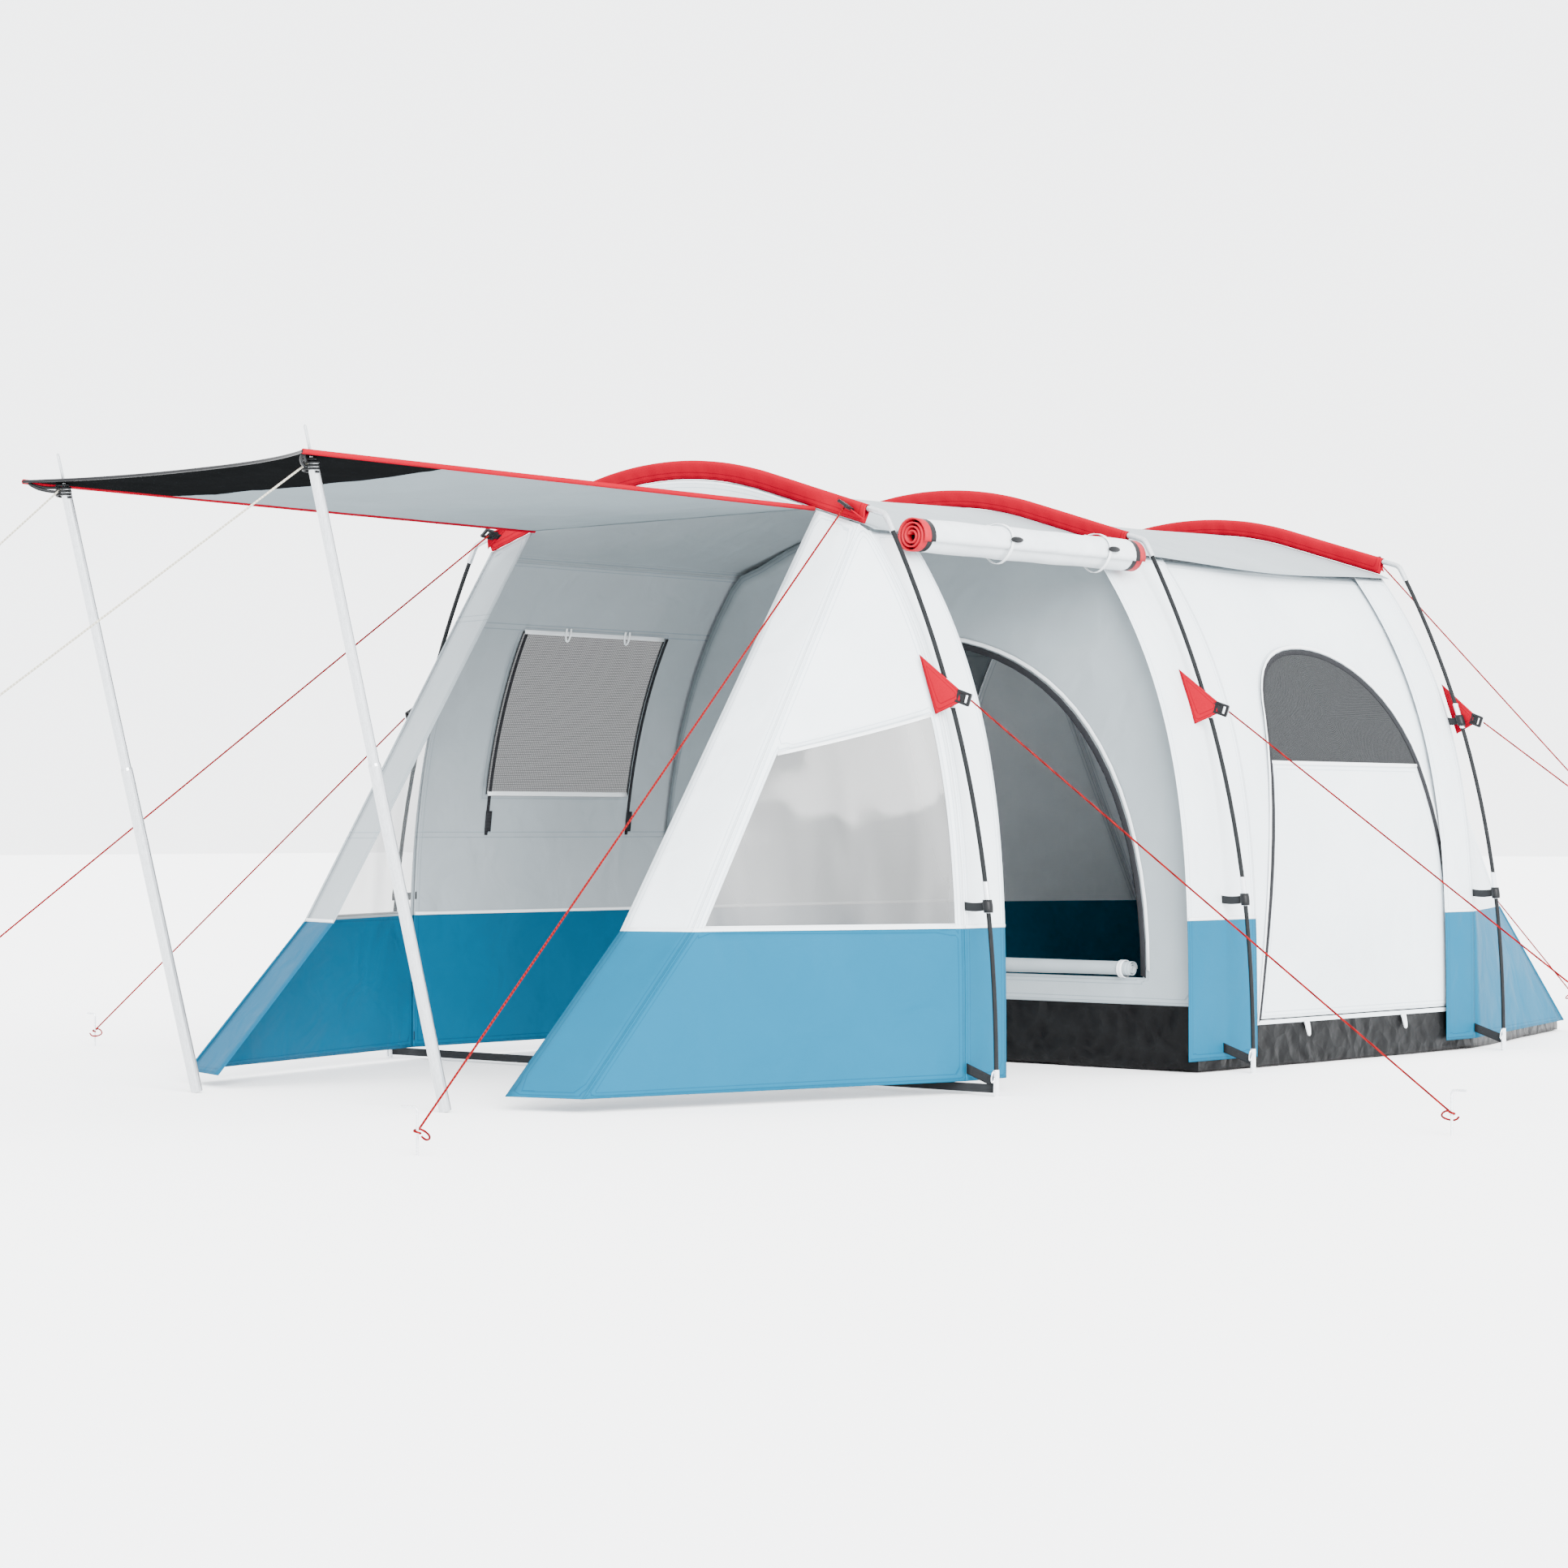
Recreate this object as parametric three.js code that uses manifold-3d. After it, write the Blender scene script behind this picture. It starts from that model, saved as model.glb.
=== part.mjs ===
// Three-arch tunnel tent with a porch: external arch poles in roof sleeves, a hung fly with a
// skirt, raked front wings, a canopy on two poles, a bedroom with a bathtub floor, guy lines, pegs.
// Millimetres. +Z up, the porch looks along -Y, +X is the side with the open side door.
// The model is laid out from the front arch (y = 0) and then moved to the middle of its box.
import * as THREE from 'three';
import { mergeVertices } from 'three/addons/utils/BufferGeometryUtils.js';
import Module from 'manifold-3d';

// ---------------------------------------------------------------- driving dimensions
const LIVING_LENGTH = 1045;      // front arch to middle arch
const BEDROOM_LENGTH = 1230;     // middle arch to rear arch
const FOOT_HALF_WIDTH = 1047;    // centre line of a leg on the ground, from the middle
const ELBOW_X = 711;             // bend of the steel elbow
const ELBOW_Z = 1370;
const ROOF_PITCH = THREE.MathUtils.degToRad(17);   // straight outer stretch of a roof pole
const ROOF_ARC_HALF = 340;       // half-width of its curved middle stretch
const LEG_CURVE = 2.3;           // how late a leg starts to lean in: 2 is a parabola

const HEM_HALF_WIDTH = 956;      // fly wall at its hem
const EAVE_INSET = 55;           // seam of wall and roof, inside the elbow's bend
const EAVE_DROP = 36;            // and below it
const EAVE_X = ELBOW_X - EAVE_INSET;
const EAVE_Z = ELBOW_Z - EAVE_DROP;
const WALL_CURVE = 3.4;          // upright at the hem, leaning in towards the eave
const HEM_Z = 31;                // hem clear of the ground
const SKIRT_TOP_Z = 387;         // seam between the coloured skirt and the pale wall
const BAND_HALF_WIDTH = 152;     // fly band each side of an arch, where the side is open
const CLOTH = 2;                 // modelled cloth thickness
const GAP = 0.3;                 // clearance between touching solids
const SEAM_GAP = 1.1;            // clearance where two raked panels meet at an edge

const ROD_RADIUS = 5.5;          // glass-fibre rod
const FERRULE_RADIUS = ROD_RADIUS + 1.5;     // steel ferrule and foot tube
const ELBOW_RADIUS = ROD_RADIUS + 2;
const FIT = 0.7;                 // radial clearance of a rod in an elbow
const SOCKET_DEPTH = 38;
const LEG_SOCKET = 26;
const ELBOW_ARM = 55;            // elbow, from its bend along the roof pole
const FERRULES = [[424, 497], [903, 973]];   // lowest and highest point of each leg ferrule
const FOOT_TUBE_HEIGHT = 62;

const SLEEVE_HALF_WIDTH = ROD_RADIUS + 3.5;  // cloth tunnel round a roof pole
const SLEEVE_TAIL = 38;          // from the pole's centre down to where it is sewn on
const POLE_PLAY = 1.4;           // room for the pole in its sleeve
const ROOF_DROP = SLEEVE_TAIL + CLOTH / 2 + GAP + 0.2;   // pole centre to roof cloth

const CLIP_Z = 440;              // clip straps to the legs
const CLIP_HEIGHT = 20;
const FLAP_PAST_LEG = 64;        // guy-line flaps on the walls: tip outside the leg
const FLAP_TOP_Z = EAVE_Z - 301;
const FLAP_LOW_Z = EAVE_Z - 449;
const FLAP_TIP_Z = EAVE_Z - 409;

const WING_SEAM_X = 679;         // outer seam of a front wing and of the rear wall, at the hem
const WING_SEAM_TOP_X = EAVE_X - 20;
const WING_EDGE_X = 495;         // free edge of a front wing
const SKIRT_REACH = 620;         // how far the raked seam stands off its arch at the skirt's top
const HEM_REACH = 980;           // and at the hem
const STRIP_LEAD = 64;           // the free edge stands this much further out
const PANE_MARGIN = 22;          // clear window of a wing, from the seams beside it
const PANE_FRONT_Z = EAVE_Z - 547;
const PANE_REAR_Z = EAVE_Z - 449;

const WINDOW_FRONT_Y = 240;      // netting window in the living room's closed side
const WINDOW_BACK = 261;         // its rear edge ahead of the middle arch
const WINDOW_LOW_Z = 720;
const WINDOW_HIGH_Z = EAVE_Z - 184;

const CROSS_WALL_AHEAD = 97;     // bedroom front wall ahead of the middle arch
const TUB_HEIGHT = 110;          // bathtub floor: its side walls
const TUB_FRONT_HEIGHT = 167;    // and its front wall, a step to climb over
const TUB_HALF_WIDTH = 945;
const TUB_CLOTH = 3;
const TUB_REAR_CLEAR = 32;       // tub wall to the raked rear wall
const INNER_INSET = 14;          // bedroom cloth stands this far inside the fly
const HUNG_HALF = 470;           // the front wall is hooked to the roof over this half-width
const DOORWAY_HALF_WIDTH = 773;
const DOORWAY_TOP_Z = EAVE_Z - 211;
const DOORWAY_SILL_Z = 237;
const INNER_ROLL_RADIUS = 21;    // inner door rolled down on its sill
const DOOR_LOW_Z = 122;          // the bedroom's side door: hinge line,
const DOOR_TOP_Z = EAVE_Z - 236; // crown,
const DOOR_BEHIND = 181;         // front edge behind the middle arch,
const DOOR_AHEAD = 111;          // rear edge ahead of the rear arch
const ZIP_GAP = 0.6;

const AWNING_HALF_WIDTH = 486;
const AWNING_REACH = 1612;       // front corners of the canopy, ahead of the front arch
const AWNING_FRONT_HOLLOW = 90;  // how far its front edge curves back between the corners
const AWNING_FRONT_Z = EAVE_Z + 73;
const AWNING_REAR_Z = EAVE_Z + 62;
const AWNING_SAG = 14;
const POLE_X = 429;
const POLE_TOP_BACK = 70;        // canopy poles: grommet behind the front corners
const POLE_TOP_Y = POLE_TOP_BACK - AWNING_REACH;
const POLE_FOOT_Y = POLE_TOP_Y + 386;
const POLE_RADIUS = 14;
const POLE_UPPER_RADIUS = 12;
const POLE_JOIN = 780;           // where the thin upper tube slides out of the lower one
const POLE_WALL = 1.2;
const SPIKE_RADIUS = 3.5;
const SPIKE_LENGTH = 72;
const SHOULDER_DROP = 3.5;       // along the pole; its cone stays clear of the cloth as it swings

const ROLL_RADIUS = 48;          // side door rolled up under the eave
const ROLL_AHEAD = 77;           // its ends, inside the two arches
const ROLL_Z = EAVE_Z - 12;

const GUY_RADIUS = 2.25;
const PEG_RADIUS = 2.6;
const PEG_HEIGHT = 92;
const PEG_HOOK = 34;
const TIE_Z = 45;                // where a guy line is looped round its peg

const MIDDLE_Y = LIVING_LENGTH;
const REAR_Y = LIVING_LENGTH + BEDROOM_LENGTH;
const CROSS_WALL_Y = MIDDLE_Y - CROSS_WALL_AHEAD;
const ORIGIN_Y = (REAR_Y + HEM_REACH - AWNING_REACH) / 2;

// ---------------------------------------------------------------- solids
const wasm = await Module();
wasm.setup();

function toSolid(geometry) {
  const bare = geometry.clone();
  bare.deleteAttribute('normal');
  bare.deleteAttribute('uv');
  const merged = mergeVertices(bare, 1e-3);
  return new wasm.Manifold(new wasm.Mesh({
    numProp: 3,
    vertProperties: new Float32Array(merged.attributes.position.array),
    triVerts: new Uint32Array(merged.index.array),
  }));
}

function toGeometry(solid) {
  const mesh = solid.getMesh();
  const geometry = new THREE.BufferGeometry();
  geometry.setAttribute('position', new THREE.BufferAttribute(new Float32Array(mesh.vertProperties), 3));
  geometry.setIndex(new THREE.BufferAttribute(new Uint32Array(mesh.triVerts), 1));
  return geometry;
}

function cut(geometry, ...tools) {
  let solid = toSolid(geometry);
  for (const tool of tools) {
    solid = solid.subtract(toSolid(tool));
  }
  return toGeometry(solid);
}

function keep(geometry, tool) {
  return toGeometry(toSolid(geometry).intersect(toSolid(tool)));
}

function join(...pieces) {
  let solid = toSolid(pieces[0]);
  for (const piece of pieces.slice(1)) {
    solid = solid.add(toSolid(piece));
  }
  return toGeometry(solid);
}

// A closed sheet: a grid of points, thickened half each way along its own normals.
function sheet(grid, thickness = CLOTH) {
  const rows = grid.length;
  const cols = grid[0].length;
  const at = (i, j) => grid[Math.min(Math.max(i, 0), rows - 1)][Math.min(Math.max(j, 0), cols - 1)];
  const points = [];
  for (const side of [0.5, -0.5]) {
    for (let i = 0; i < rows; i++) {
      for (let j = 0; j < cols; j++) {
        const along = at(i + 1, j).clone().sub(at(i - 1, j)).normalize();
        const across = at(i, j + 1).clone().sub(at(i, j)).normalize()
          .add(at(i, j).clone().sub(at(i, j - 1)).normalize());
        const normal = across.cross(along).normalize();
        points.push(at(i, j).clone().addScaledVector(normal, side * thickness));
      }
    }
  }
  const back = rows * cols;
  const id = (i, j) => i * cols + j;
  const faces = [];
  const quad = (a, b, c, d) => faces.push(a, b, c, a, c, d);
  for (let i = 0; i < rows - 1; i++) {
    for (let j = 0; j < cols - 1; j++) {
      quad(id(i, j), id(i, j + 1), id(i + 1, j + 1), id(i + 1, j));
      quad(back + id(i, j), back + id(i + 1, j), back + id(i + 1, j + 1), back + id(i, j + 1));
    }
  }
  const rim = [];
  for (let j = 0; j < cols - 1; j++) rim.push(id(0, j));
  for (let i = 0; i < rows - 1; i++) rim.push(id(i, cols - 1));
  for (let j = cols - 1; j > 0; j--) rim.push(id(rows - 1, j));
  for (let i = rows - 1; i > 0; i--) rim.push(id(i, 0));
  rim.forEach((a, k) => {
    const b = rim[(k + 1) % rim.length];
    quad(b, a, back + a, back + b);
  });
  const geometry = new THREE.BufferGeometry();
  geometry.setAttribute('position', new THREE.Float32BufferAttribute(points.flatMap((p) => p.toArray()), 3));
  geometry.setIndex(faces);
  return facingOut(geometry);
}

function facingOut(geometry) {
  const p = geometry.attributes.position;
  const index = geometry.index.array;
  const [a, b, c] = [new THREE.Vector3(), new THREE.Vector3(), new THREE.Vector3()];
  let volume = 0;
  for (let i = 0; i < index.length; i += 3) {
    a.fromBufferAttribute(p, index[i]);
    b.fromBufferAttribute(p, index[i + 1]);
    c.fromBufferAttribute(p, index[i + 2]);
    volume += a.dot(b.cross(c));
  }
  if (volume < 0) {
    for (let i = 0; i < index.length; i += 3) {
      [index[i], index[i + 1]] = [index[i + 1], index[i]];
    }
  }
  return geometry;
}

function mirrored(geometry) {
  const copy = geometry.clone();
  copy.scale(-1, 1, 1);
  if (!copy.index) {
    copy.setIndex([...Array(copy.attributes.position.count).keys()]);
  }
  return facingOut(copy);
}

// A plate drawn in X and Z, from y0 to y1.
function plateY(shape, y0, y1) {
  const settings = { depth: y1 - y0, bevelEnabled: false, curveSegments: 12 };
  const geometry = new THREE.ExtrudeGeometry(shape, settings);
  geometry.rotateX(Math.PI / 2);
  geometry.translate(0, y1, 0);
  return geometry;
}

// A plate drawn in Y and Z, from x0 to x1.
function plateX(shape, x0, x1) {
  const settings = { depth: x1 - x0, bevelEnabled: false, curveSegments: 12 };
  const geometry = new THREE.ExtrudeGeometry(shape, settings);
  geometry.rotateX(Math.PI / 2);
  geometry.rotateZ(Math.PI / 2);
  geometry.translate(x0, 0, 0);
  return geometry;
}

// A solid between two outlines with as many corners, one above the other.
function loft(lower, upper) {
  const n = lower.length;
  const faces = [];
  for (let i = 1; i < n - 1; i++) {
    faces.push(0, i + 1, i, n, n + i, n + i + 1);
  }
  for (let i = 0; i < n; i++) {
    const next = (i + 1) % n;
    faces.push(i, next, n + next, i, n + next, n + i);
  }
  const geometry = new THREE.BufferGeometry();
  const numbers = [...lower, ...upper].flatMap((p) => p.toArray());
  geometry.setAttribute('position', new THREE.Float32BufferAttribute(numbers, 3));
  geometry.setIndex(faces);
  return facingOut(geometry);
}

class Route extends THREE.Curve {
  constructor(place) {
    super();
    this.place = place;
  }

  getPoint(t, target = new THREE.Vector3()) {
    return target.copy(this.place(t));
  }
}

function circle(radius, sides) {
  const shape = new THREE.Shape();
  for (let i = 0; i < sides; i++) {
    const turn = (2 * Math.PI * (i + 0.5)) / sides;
    const place = [radius * Math.cos(turn), radius * Math.sin(turn)];
    if (i === 0) shape.moveTo(...place);
    else shape.lineTo(...place);
  }
  shape.closePath();
  return shape;
}

function tube(route, radius, steps, sides = 10) {
  return new THREE.ExtrudeGeometry(circle(radius, sides), { steps, extrudePath: route, curveSegments: 1 });
}

function straight(from, to) {
  return new THREE.LineCurve3(from, to);
}

const point = (x, y, z) => new THREE.Vector3(x, y, z);

// ---------------------------------------------------------------- arch and fly outlines
// Half of an arch: the pole's curve from the middle of the roof out to the elbow.
const ARC_RADIUS = ROOF_ARC_HALF / Math.sin(ROOF_PITCH);
const ROOF_RISE = (ELBOW_X - ROOF_ARC_HALF) * Math.tan(ROOF_PITCH);
const APEX_Z = ELBOW_Z + ROOF_RISE + ARC_RADIUS * (1 - Math.cos(ROOF_PITCH));

function roofPole(x) {
  const out = Math.abs(x);
  if (out < ROOF_ARC_HALF) {
    return APEX_Z - ARC_RADIUS + Math.sqrt(ARC_RADIUS ** 2 - out ** 2);
  }
  return ELBOW_Z + (ELBOW_X - out) * Math.tan(ROOF_PITCH);
}

function legX(z) {
  return FOOT_HALF_WIDTH - (FOOT_HALF_WIDTH - ELBOW_X) * Math.max(z / ELBOW_Z, 0) ** LEG_CURVE;
}

function wallX(z) {
  const rise = Math.max((z - HEM_Z) / (EAVE_Z - HEM_Z), 0);
  return HEM_HALF_WIDTH - (HEM_HALF_WIDTH - EAVE_X) * rise ** WALL_CURVE;
}

function archPoint(x) {
  return point(x, 0, roofPole(x));
}

// Roof cloth: the pole's curve moved straight in by ROOF_DROP.
function roofPoint(x) {
  const lean = Math.min(Math.abs(x) / ARC_RADIUS, Math.sin(ROOF_PITCH));
  const pole = archPoint(x);
  return point(x - Math.sign(x) * lean * ROOF_DROP, 0, pole.z - Math.sqrt(1 - lean ** 2) * ROOF_DROP);
}

// The wall cloth is faceted at these heights; what is sewn to it follows clothX.
const UPPER_ROWS = [0, 0.183, 0.352, 0.5, 0.626, 0.742, 0.848, 0.932, 1];
const WALL_ROWS = [
  HEM_Z,
  TUB_HEIGHT + GAP,
  ...UPPER_ROWS.map((share) => SKIRT_TOP_Z + share * (EAVE_Z - SKIRT_TOP_Z)),
];

function clothX(z) {
  const above = Math.max(WALL_ROWS.findIndex((row) => row >= z), 1);
  const [low, high] = [WALL_ROWS[above - 1], WALL_ROWS[above]];
  return wallX(low) + ((wallX(high) - wallX(low)) * (z - low)) / (high - low);
}

const ROOF_STOPS = [EAVE_X - 16, 560, 450, 340, 230, 115, 0];

// The fly's section, from the right hem over the roof to the left hem, with its normals.
function flySection() {
  const right = WALL_ROWS.map((z) => point(wallX(z), 0, z));
  const roof = ROOF_STOPS.map((x) => roofPoint(x));
  const half = [...right, ...roof];
  const left = half.slice(0, -1).reverse().map((p) => point(-p.x, 0, p.z));
  const line = [...half, ...left];
  return line.map((p, i) => {
    const before = line[Math.max(i - 1, 0)];
    const after = line[Math.min(i + 1, line.length - 1)];
    const a = p.clone().sub(before).normalize();
    const b = after.clone().sub(p).normalize();
    const along = a.add(b).normalize();
    return { p, normal: point(along.z, 0, -along.x) };
  });
}

const SECTION = flySection();
const EAVE_INDEX = WALL_ROWS.length - 1;
const ROOF_LINE = SECTION.slice(EAVE_INDEX, EAVE_INDEX + ROOF_STOPS.length + 1).map(({ p }) => p);

// Height of the roof cloth above x, along its facets.
function roofZ(x) {
  const out = Math.abs(x);
  const k = Math.min(Math.max(ROOF_LINE.findIndex((p) => p.x <= out), 1), ROOF_LINE.length - 1);
  const [a, b] = [ROOF_LINE[k - 1], ROOF_LINE[k]];
  return a.z + ((b.z - a.z) * (out - a.x)) / (b.x - a.x);
}

// Part of the fly's section as a solid from y0 to y1. inset moves it inwards.
function flyPiece(first, last, y0, y1, inset = 0) {
  const run = SECTION.slice(first, last + 1).map(({ p, normal }) => ({ p: p.clone(), normal }));
  const trim = (k, towards) => {
    const way = run[towards].p.clone().sub(run[k].p).normalize();
    run[k].p.addScaledVector(way, GAP / 2);
  };
  trim(0, 1);
  trim(run.length - 1, run.length - 2);
  const outer = run.map(({ p, normal }) => p.clone().addScaledVector(normal, CLOTH / 2 - inset));
  const inner = run.map(({ p, normal }) => p.clone().addScaledVector(normal, -CLOTH / 2 - inset));
  const shape = new THREE.Shape([...outer, ...inner.reverse()].map((q) => new THREE.Vector2(q.x, q.z)));
  return plateY(shape, y0, y1);
}

// ---------------------------------------------------------------- materials
function paint(colour, roughness, metalness = 0) {
  return new THREE.MeshStandardMaterial({ color: colour, roughness, metalness, side: THREE.DoubleSide });
}

const paleCloth = () => paint(0xe4ecf0, 0.75);
const shadeCloth = () => paint(0xb0bcc0, 0.8);
const redCloth = () => paint(0xe8192f, 0.7);
const floorCloth = () => paint(0x2c2c2e, 0.6);
const rodBlack = () => paint(0x3a3a3a, 0.4);
const steel = () => paint(0xd8dcdf, 0.25, 1);
const FILM = { color: 0xdfe6ea, roughness: 0.1, transparent: true, opacity: 0.4 };
const film = () => new THREE.MeshStandardMaterial(FILM);
const netting = () => paint(0x6f7274, 0.9);
const webbing = () => paint(0x1c1c1e, 0.8);
const redCord = () => paint(0xb01020, 0.7);
const paleCord = () => paint(0xe8e6da, 0.7);

const tent = new THREE.Group();

function add(name, geometry, material, parent = tent) {
  const mesh = new THREE.Mesh(geometry, material);
  mesh.name = name;
  parent.add(mesh);
  return mesh;
}

// ---------------------------------------------------------------- the three arches
// Roof pole, two elbows and two legs; the rods end in the elbows' sockets.
const ARM_X = ELBOW_X - ELBOW_ARM * Math.cos(ROOF_PITCH);
const LEG_ARM_Z = ELBOW_Z - 44;
const SLEEVE_END_X = ARM_X - 1.4;
const BEND = 12;                 // how far from the corner the elbow starts to bend

const legPoint = (z) => point(legX(z), 0, z);

function elbowRoute() {
  const inner = archPoint(ARM_X);
  const corner = point(ELBOW_X, 0, ELBOW_Z);
  const lower = legPoint(LEG_ARM_Z);
  const near = corner.clone().sub(inner).setLength(BEND);
  const away = lower.clone().sub(corner).setLength(BEND);
  const path = new THREE.CurvePath();
  path.add(straight(inner, corner.clone().sub(near)));
  path.add(new THREE.QuadraticBezierCurve3(corner.clone().sub(near), corner, corner.clone().add(away)));
  path.add(straight(corner.clone().add(away), lower));
  return path;
}

function elbowGeometry() {
  const inner = archPoint(ARM_X);
  const lower = legPoint(LEG_ARM_Z);
  const corner = point(ELBOW_X, 0, ELBOW_Z);
  const past = (from, to, depth) => {
    const way = to.clone().sub(from).normalize();
    return straight(from.clone().addScaledVector(way, -5), from.clone().addScaledVector(way, depth));
  };
  const poleBore = tube(past(inner, corner, SOCKET_DEPTH + GAP), ROD_RADIUS + FIT, 1, 12);
  const legBore = tube(past(lower, corner, LEG_SOCKET + GAP), ROD_RADIUS + FIT, 1, 12);
  return cut(tube(elbowRoute(), ELBOW_RADIUS, 14, 12), poleBore, legBore);
}

// The rod's last stretch runs straight along the elbow's arm, so it stays clear of the bore.
function legRoute() {
  const corner = point(ELBOW_X, 0, ELBOW_Z);
  const lower = legPoint(LEG_ARM_Z);
  const up = corner.clone().sub(lower).setLength(LEG_SOCKET).add(lower);
  const path = new THREE.CurvePath();
  path.add(new Route((t) => legPoint(LEG_ARM_Z * t)));
  path.add(straight(lower, up));
  return path;
}

function legGeometry() {
  const pieces = [tube(legRoute(), ROD_RADIUS, 22, 10)];
  for (const [low, high] of FERRULES) {
    pieces.push(tube(new Route((t) => legPoint(low + (high - low) * t)), FERRULE_RADIUS, 2, 12));
  }
  pieces.push(tube(new Route((t) => legPoint(FOOT_TUBE_HEIGHT * t)), FERRULE_RADIUS, 1, 12));
  return join(...pieces);
}

function roofPoleGeometry() {
  const inner = archPoint(ARM_X);
  const way = point(ELBOW_X, 0, ELBOW_Z).sub(inner).setLength(SOCKET_DEPTH);
  const end = inner.add(way).x;
  return tube(new Route((t) => archPoint(end * (2 * t - 1))), ROD_RADIUS, 26, 10);
}

// Sleeve section: round over the pole, narrowing to the seam on the roof.
function sleeveGeometry() {
  const shape = new THREE.Shape();
  const crown = 8.5;
  shape.moveTo(1, SLEEVE_TAIL);
  shape.lineTo(SLEEVE_HALF_WIDTH, 3);
  for (let i = 1; i <= 5; i++) {
    const turn = (Math.PI * i) / 6;
    shape.lineTo(SLEEVE_HALF_WIDTH * Math.cos(turn), -crown * Math.sin(turn));
  }
  shape.lineTo(-SLEEVE_HALF_WIDTH, 3);
  shape.lineTo(-1, SLEEVE_TAIL);
  shape.closePath();
  shape.holes.push(circle(ROD_RADIUS + POLE_PLAY, 8));
  const route = new Route((t) => archPoint(SLEEVE_END_X * (2 * t - 1)));
  return new THREE.ExtrudeGeometry(shape, { steps: 26, extrudePath: route, curveSegments: 1 });
}

const ARCHES = [
  { name: 'front', y: 0, flaps: -1 },
  { name: 'middle', y: MIDDLE_Y, flaps: 0 },
  { name: 'rear', y: REAR_Y, flaps: 1 },
];

// Guy-line flap: a tongue from the sleeve's face, pulled out to its buckle at tip [x, y, z].
const FLAP_THICKNESS = 2.4;
const TIP_HALF_WIDTH = 11;

function sleeveFlap(tip, halfWidth) {
  const face = Math.sign(tip[1]);
  const rim = (x, y, z) => [-FLAP_THICKNESS / 2, FLAP_THICKNESS / 2].map((up) => point(x, y, z + up));
  const rootY = face * (SLEEVE_HALF_WIDTH - 1.2);
  const [x, y, z] = tip;
  const near = x - halfWidth;
  const far = x + halfWidth;
  const root = [...rim(near, rootY, roofPole(near)), ...rim(far, rootY, roofPole(far)).reverse()];
  const end = [...rim(x - TIP_HALF_WIDTH, y, z + 3), ...rim(x + TIP_HALF_WIDTH, y, z - 3).reverse()];
  return loft(root, end);
}

const CORNER_TIP = [618, 40, ELBOW_Z + 18];     // flap at a sleeve's end
const CENTRE_TIP = [0, 33, APEX_Z - 28];      // flap at the middle of the rear sleeve
const cornerFlap = (face) => sleeveFlap([CORNER_TIP[0], face * CORNER_TIP[1], CORNER_TIP[2]], 42);

for (const arch of ARCHES) {
  const group = new THREE.Group();
  group.position.y = arch.y;
  tent.add(group);
  add(`${arch.name}_roof_pole`, roofPoleGeometry(), rodBlack(), group);
  add(`${arch.name}_elbow_right`, elbowGeometry(), steel(), group);
  add(`${arch.name}_elbow_left`, mirrored(elbowGeometry()), steel(), group);
  add(`${arch.name}_leg_right`, legGeometry(), rodBlack(), group);
  add(`${arch.name}_leg_left`, mirrored(legGeometry()), rodBlack(), group);
  let sleeve = sleeveGeometry();
  if (arch.flaps) {
    sleeve = join(sleeve, cornerFlap(arch.flaps), mirrored(cornerFlap(arch.flaps)));
  }
  if (arch.flaps > 0) {
    sleeve = join(sleeve, sleeveFlap(CENTRE_TIP, 32));
  }
  add(`${arch.name}_sleeve`, sleeve, redCloth(), group);
}

// ---------------------------------------------------------------- fly: roof, bands and left walls
// Tabs sewn to the wall at an arch: a clip strap to the leg, a foot strap and a guy-line flap.
const FLAP_TIP_X = legX(FLAP_TIP_Z) + FLAP_PAST_LEG;
const TAB = 2.4;
const SINK = 0.6;                // a tab's root lies this deep in the wall it is sewn to

// Where a tab ends beside the leaning leg.
function legClear(z) {
  const slope = (legX(z - 1) - legX(z + 1)) / 2;
  return legX(z) - FERRULE_RADIUS * Math.hypot(1, slope) - GAP - 0.1;
}

function clipTab(z, y) {
  const low = z - CLIP_HEIGHT / 2;
  const high = z + CLIP_HEIGHT / 2;
  const shape = new THREE.Shape([
    new THREE.Vector2(clothX(low) + CLOTH / 2 - SINK, low),
    new THREE.Vector2(legClear(low), low),
    new THREE.Vector2(legClear(high), high),
    new THREE.Vector2(clothX(high) + CLOTH / 2 - SINK, high),
  ]);
  return plateY(shape, y - TAB / 2, y + TAB / 2);
}

function footTab(y) {
  const tip = legClear(42);
  const shape = new THREE.Shape([
    new THREE.Vector2(clothX(HEM_Z + 8) + CLOTH / 2 - SINK, HEM_Z + 6),
    new THREE.Vector2(tip, 18),
    new THREE.Vector2(tip, 42),
    new THREE.Vector2(clothX(HEM_Z + 46) + CLOTH / 2 - SINK, HEM_Z + 46),
  ]);
  return plateY(shape, y - TAB / 2, y + TAB / 2);
}

function guyFlap(y) {
  const root = (z) => clothX(z) + CLOTH / 2 - SINK;
  const shape = new THREE.Shape([
    new THREE.Vector2(root(FLAP_LOW_Z), FLAP_LOW_Z),
    new THREE.Vector2(FLAP_TIP_X - 40, FLAP_TIP_Z - 14),
    new THREE.Vector2(FLAP_TIP_X, FLAP_TIP_Z - 18),
    new THREE.Vector2(FLAP_TIP_X + 10, FLAP_TIP_Z + 4),
    new THREE.Vector2(FLAP_TIP_X - 32, FLAP_TIP_Z + 22),
    new THREE.Vector2(root(FLAP_TOP_Z), FLAP_TOP_Z),
  ]);
  return plateY(shape, y - TAB / 2, y + TAB / 2);
}

const FLAP_OFFSET = FERRULE_RADIUS + TAB / 2 + 0.6;   // a flap passes beside the leg
const TAB_INSET = 3;             // a tab's middle from the edge of the wall it is sewn to

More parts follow.
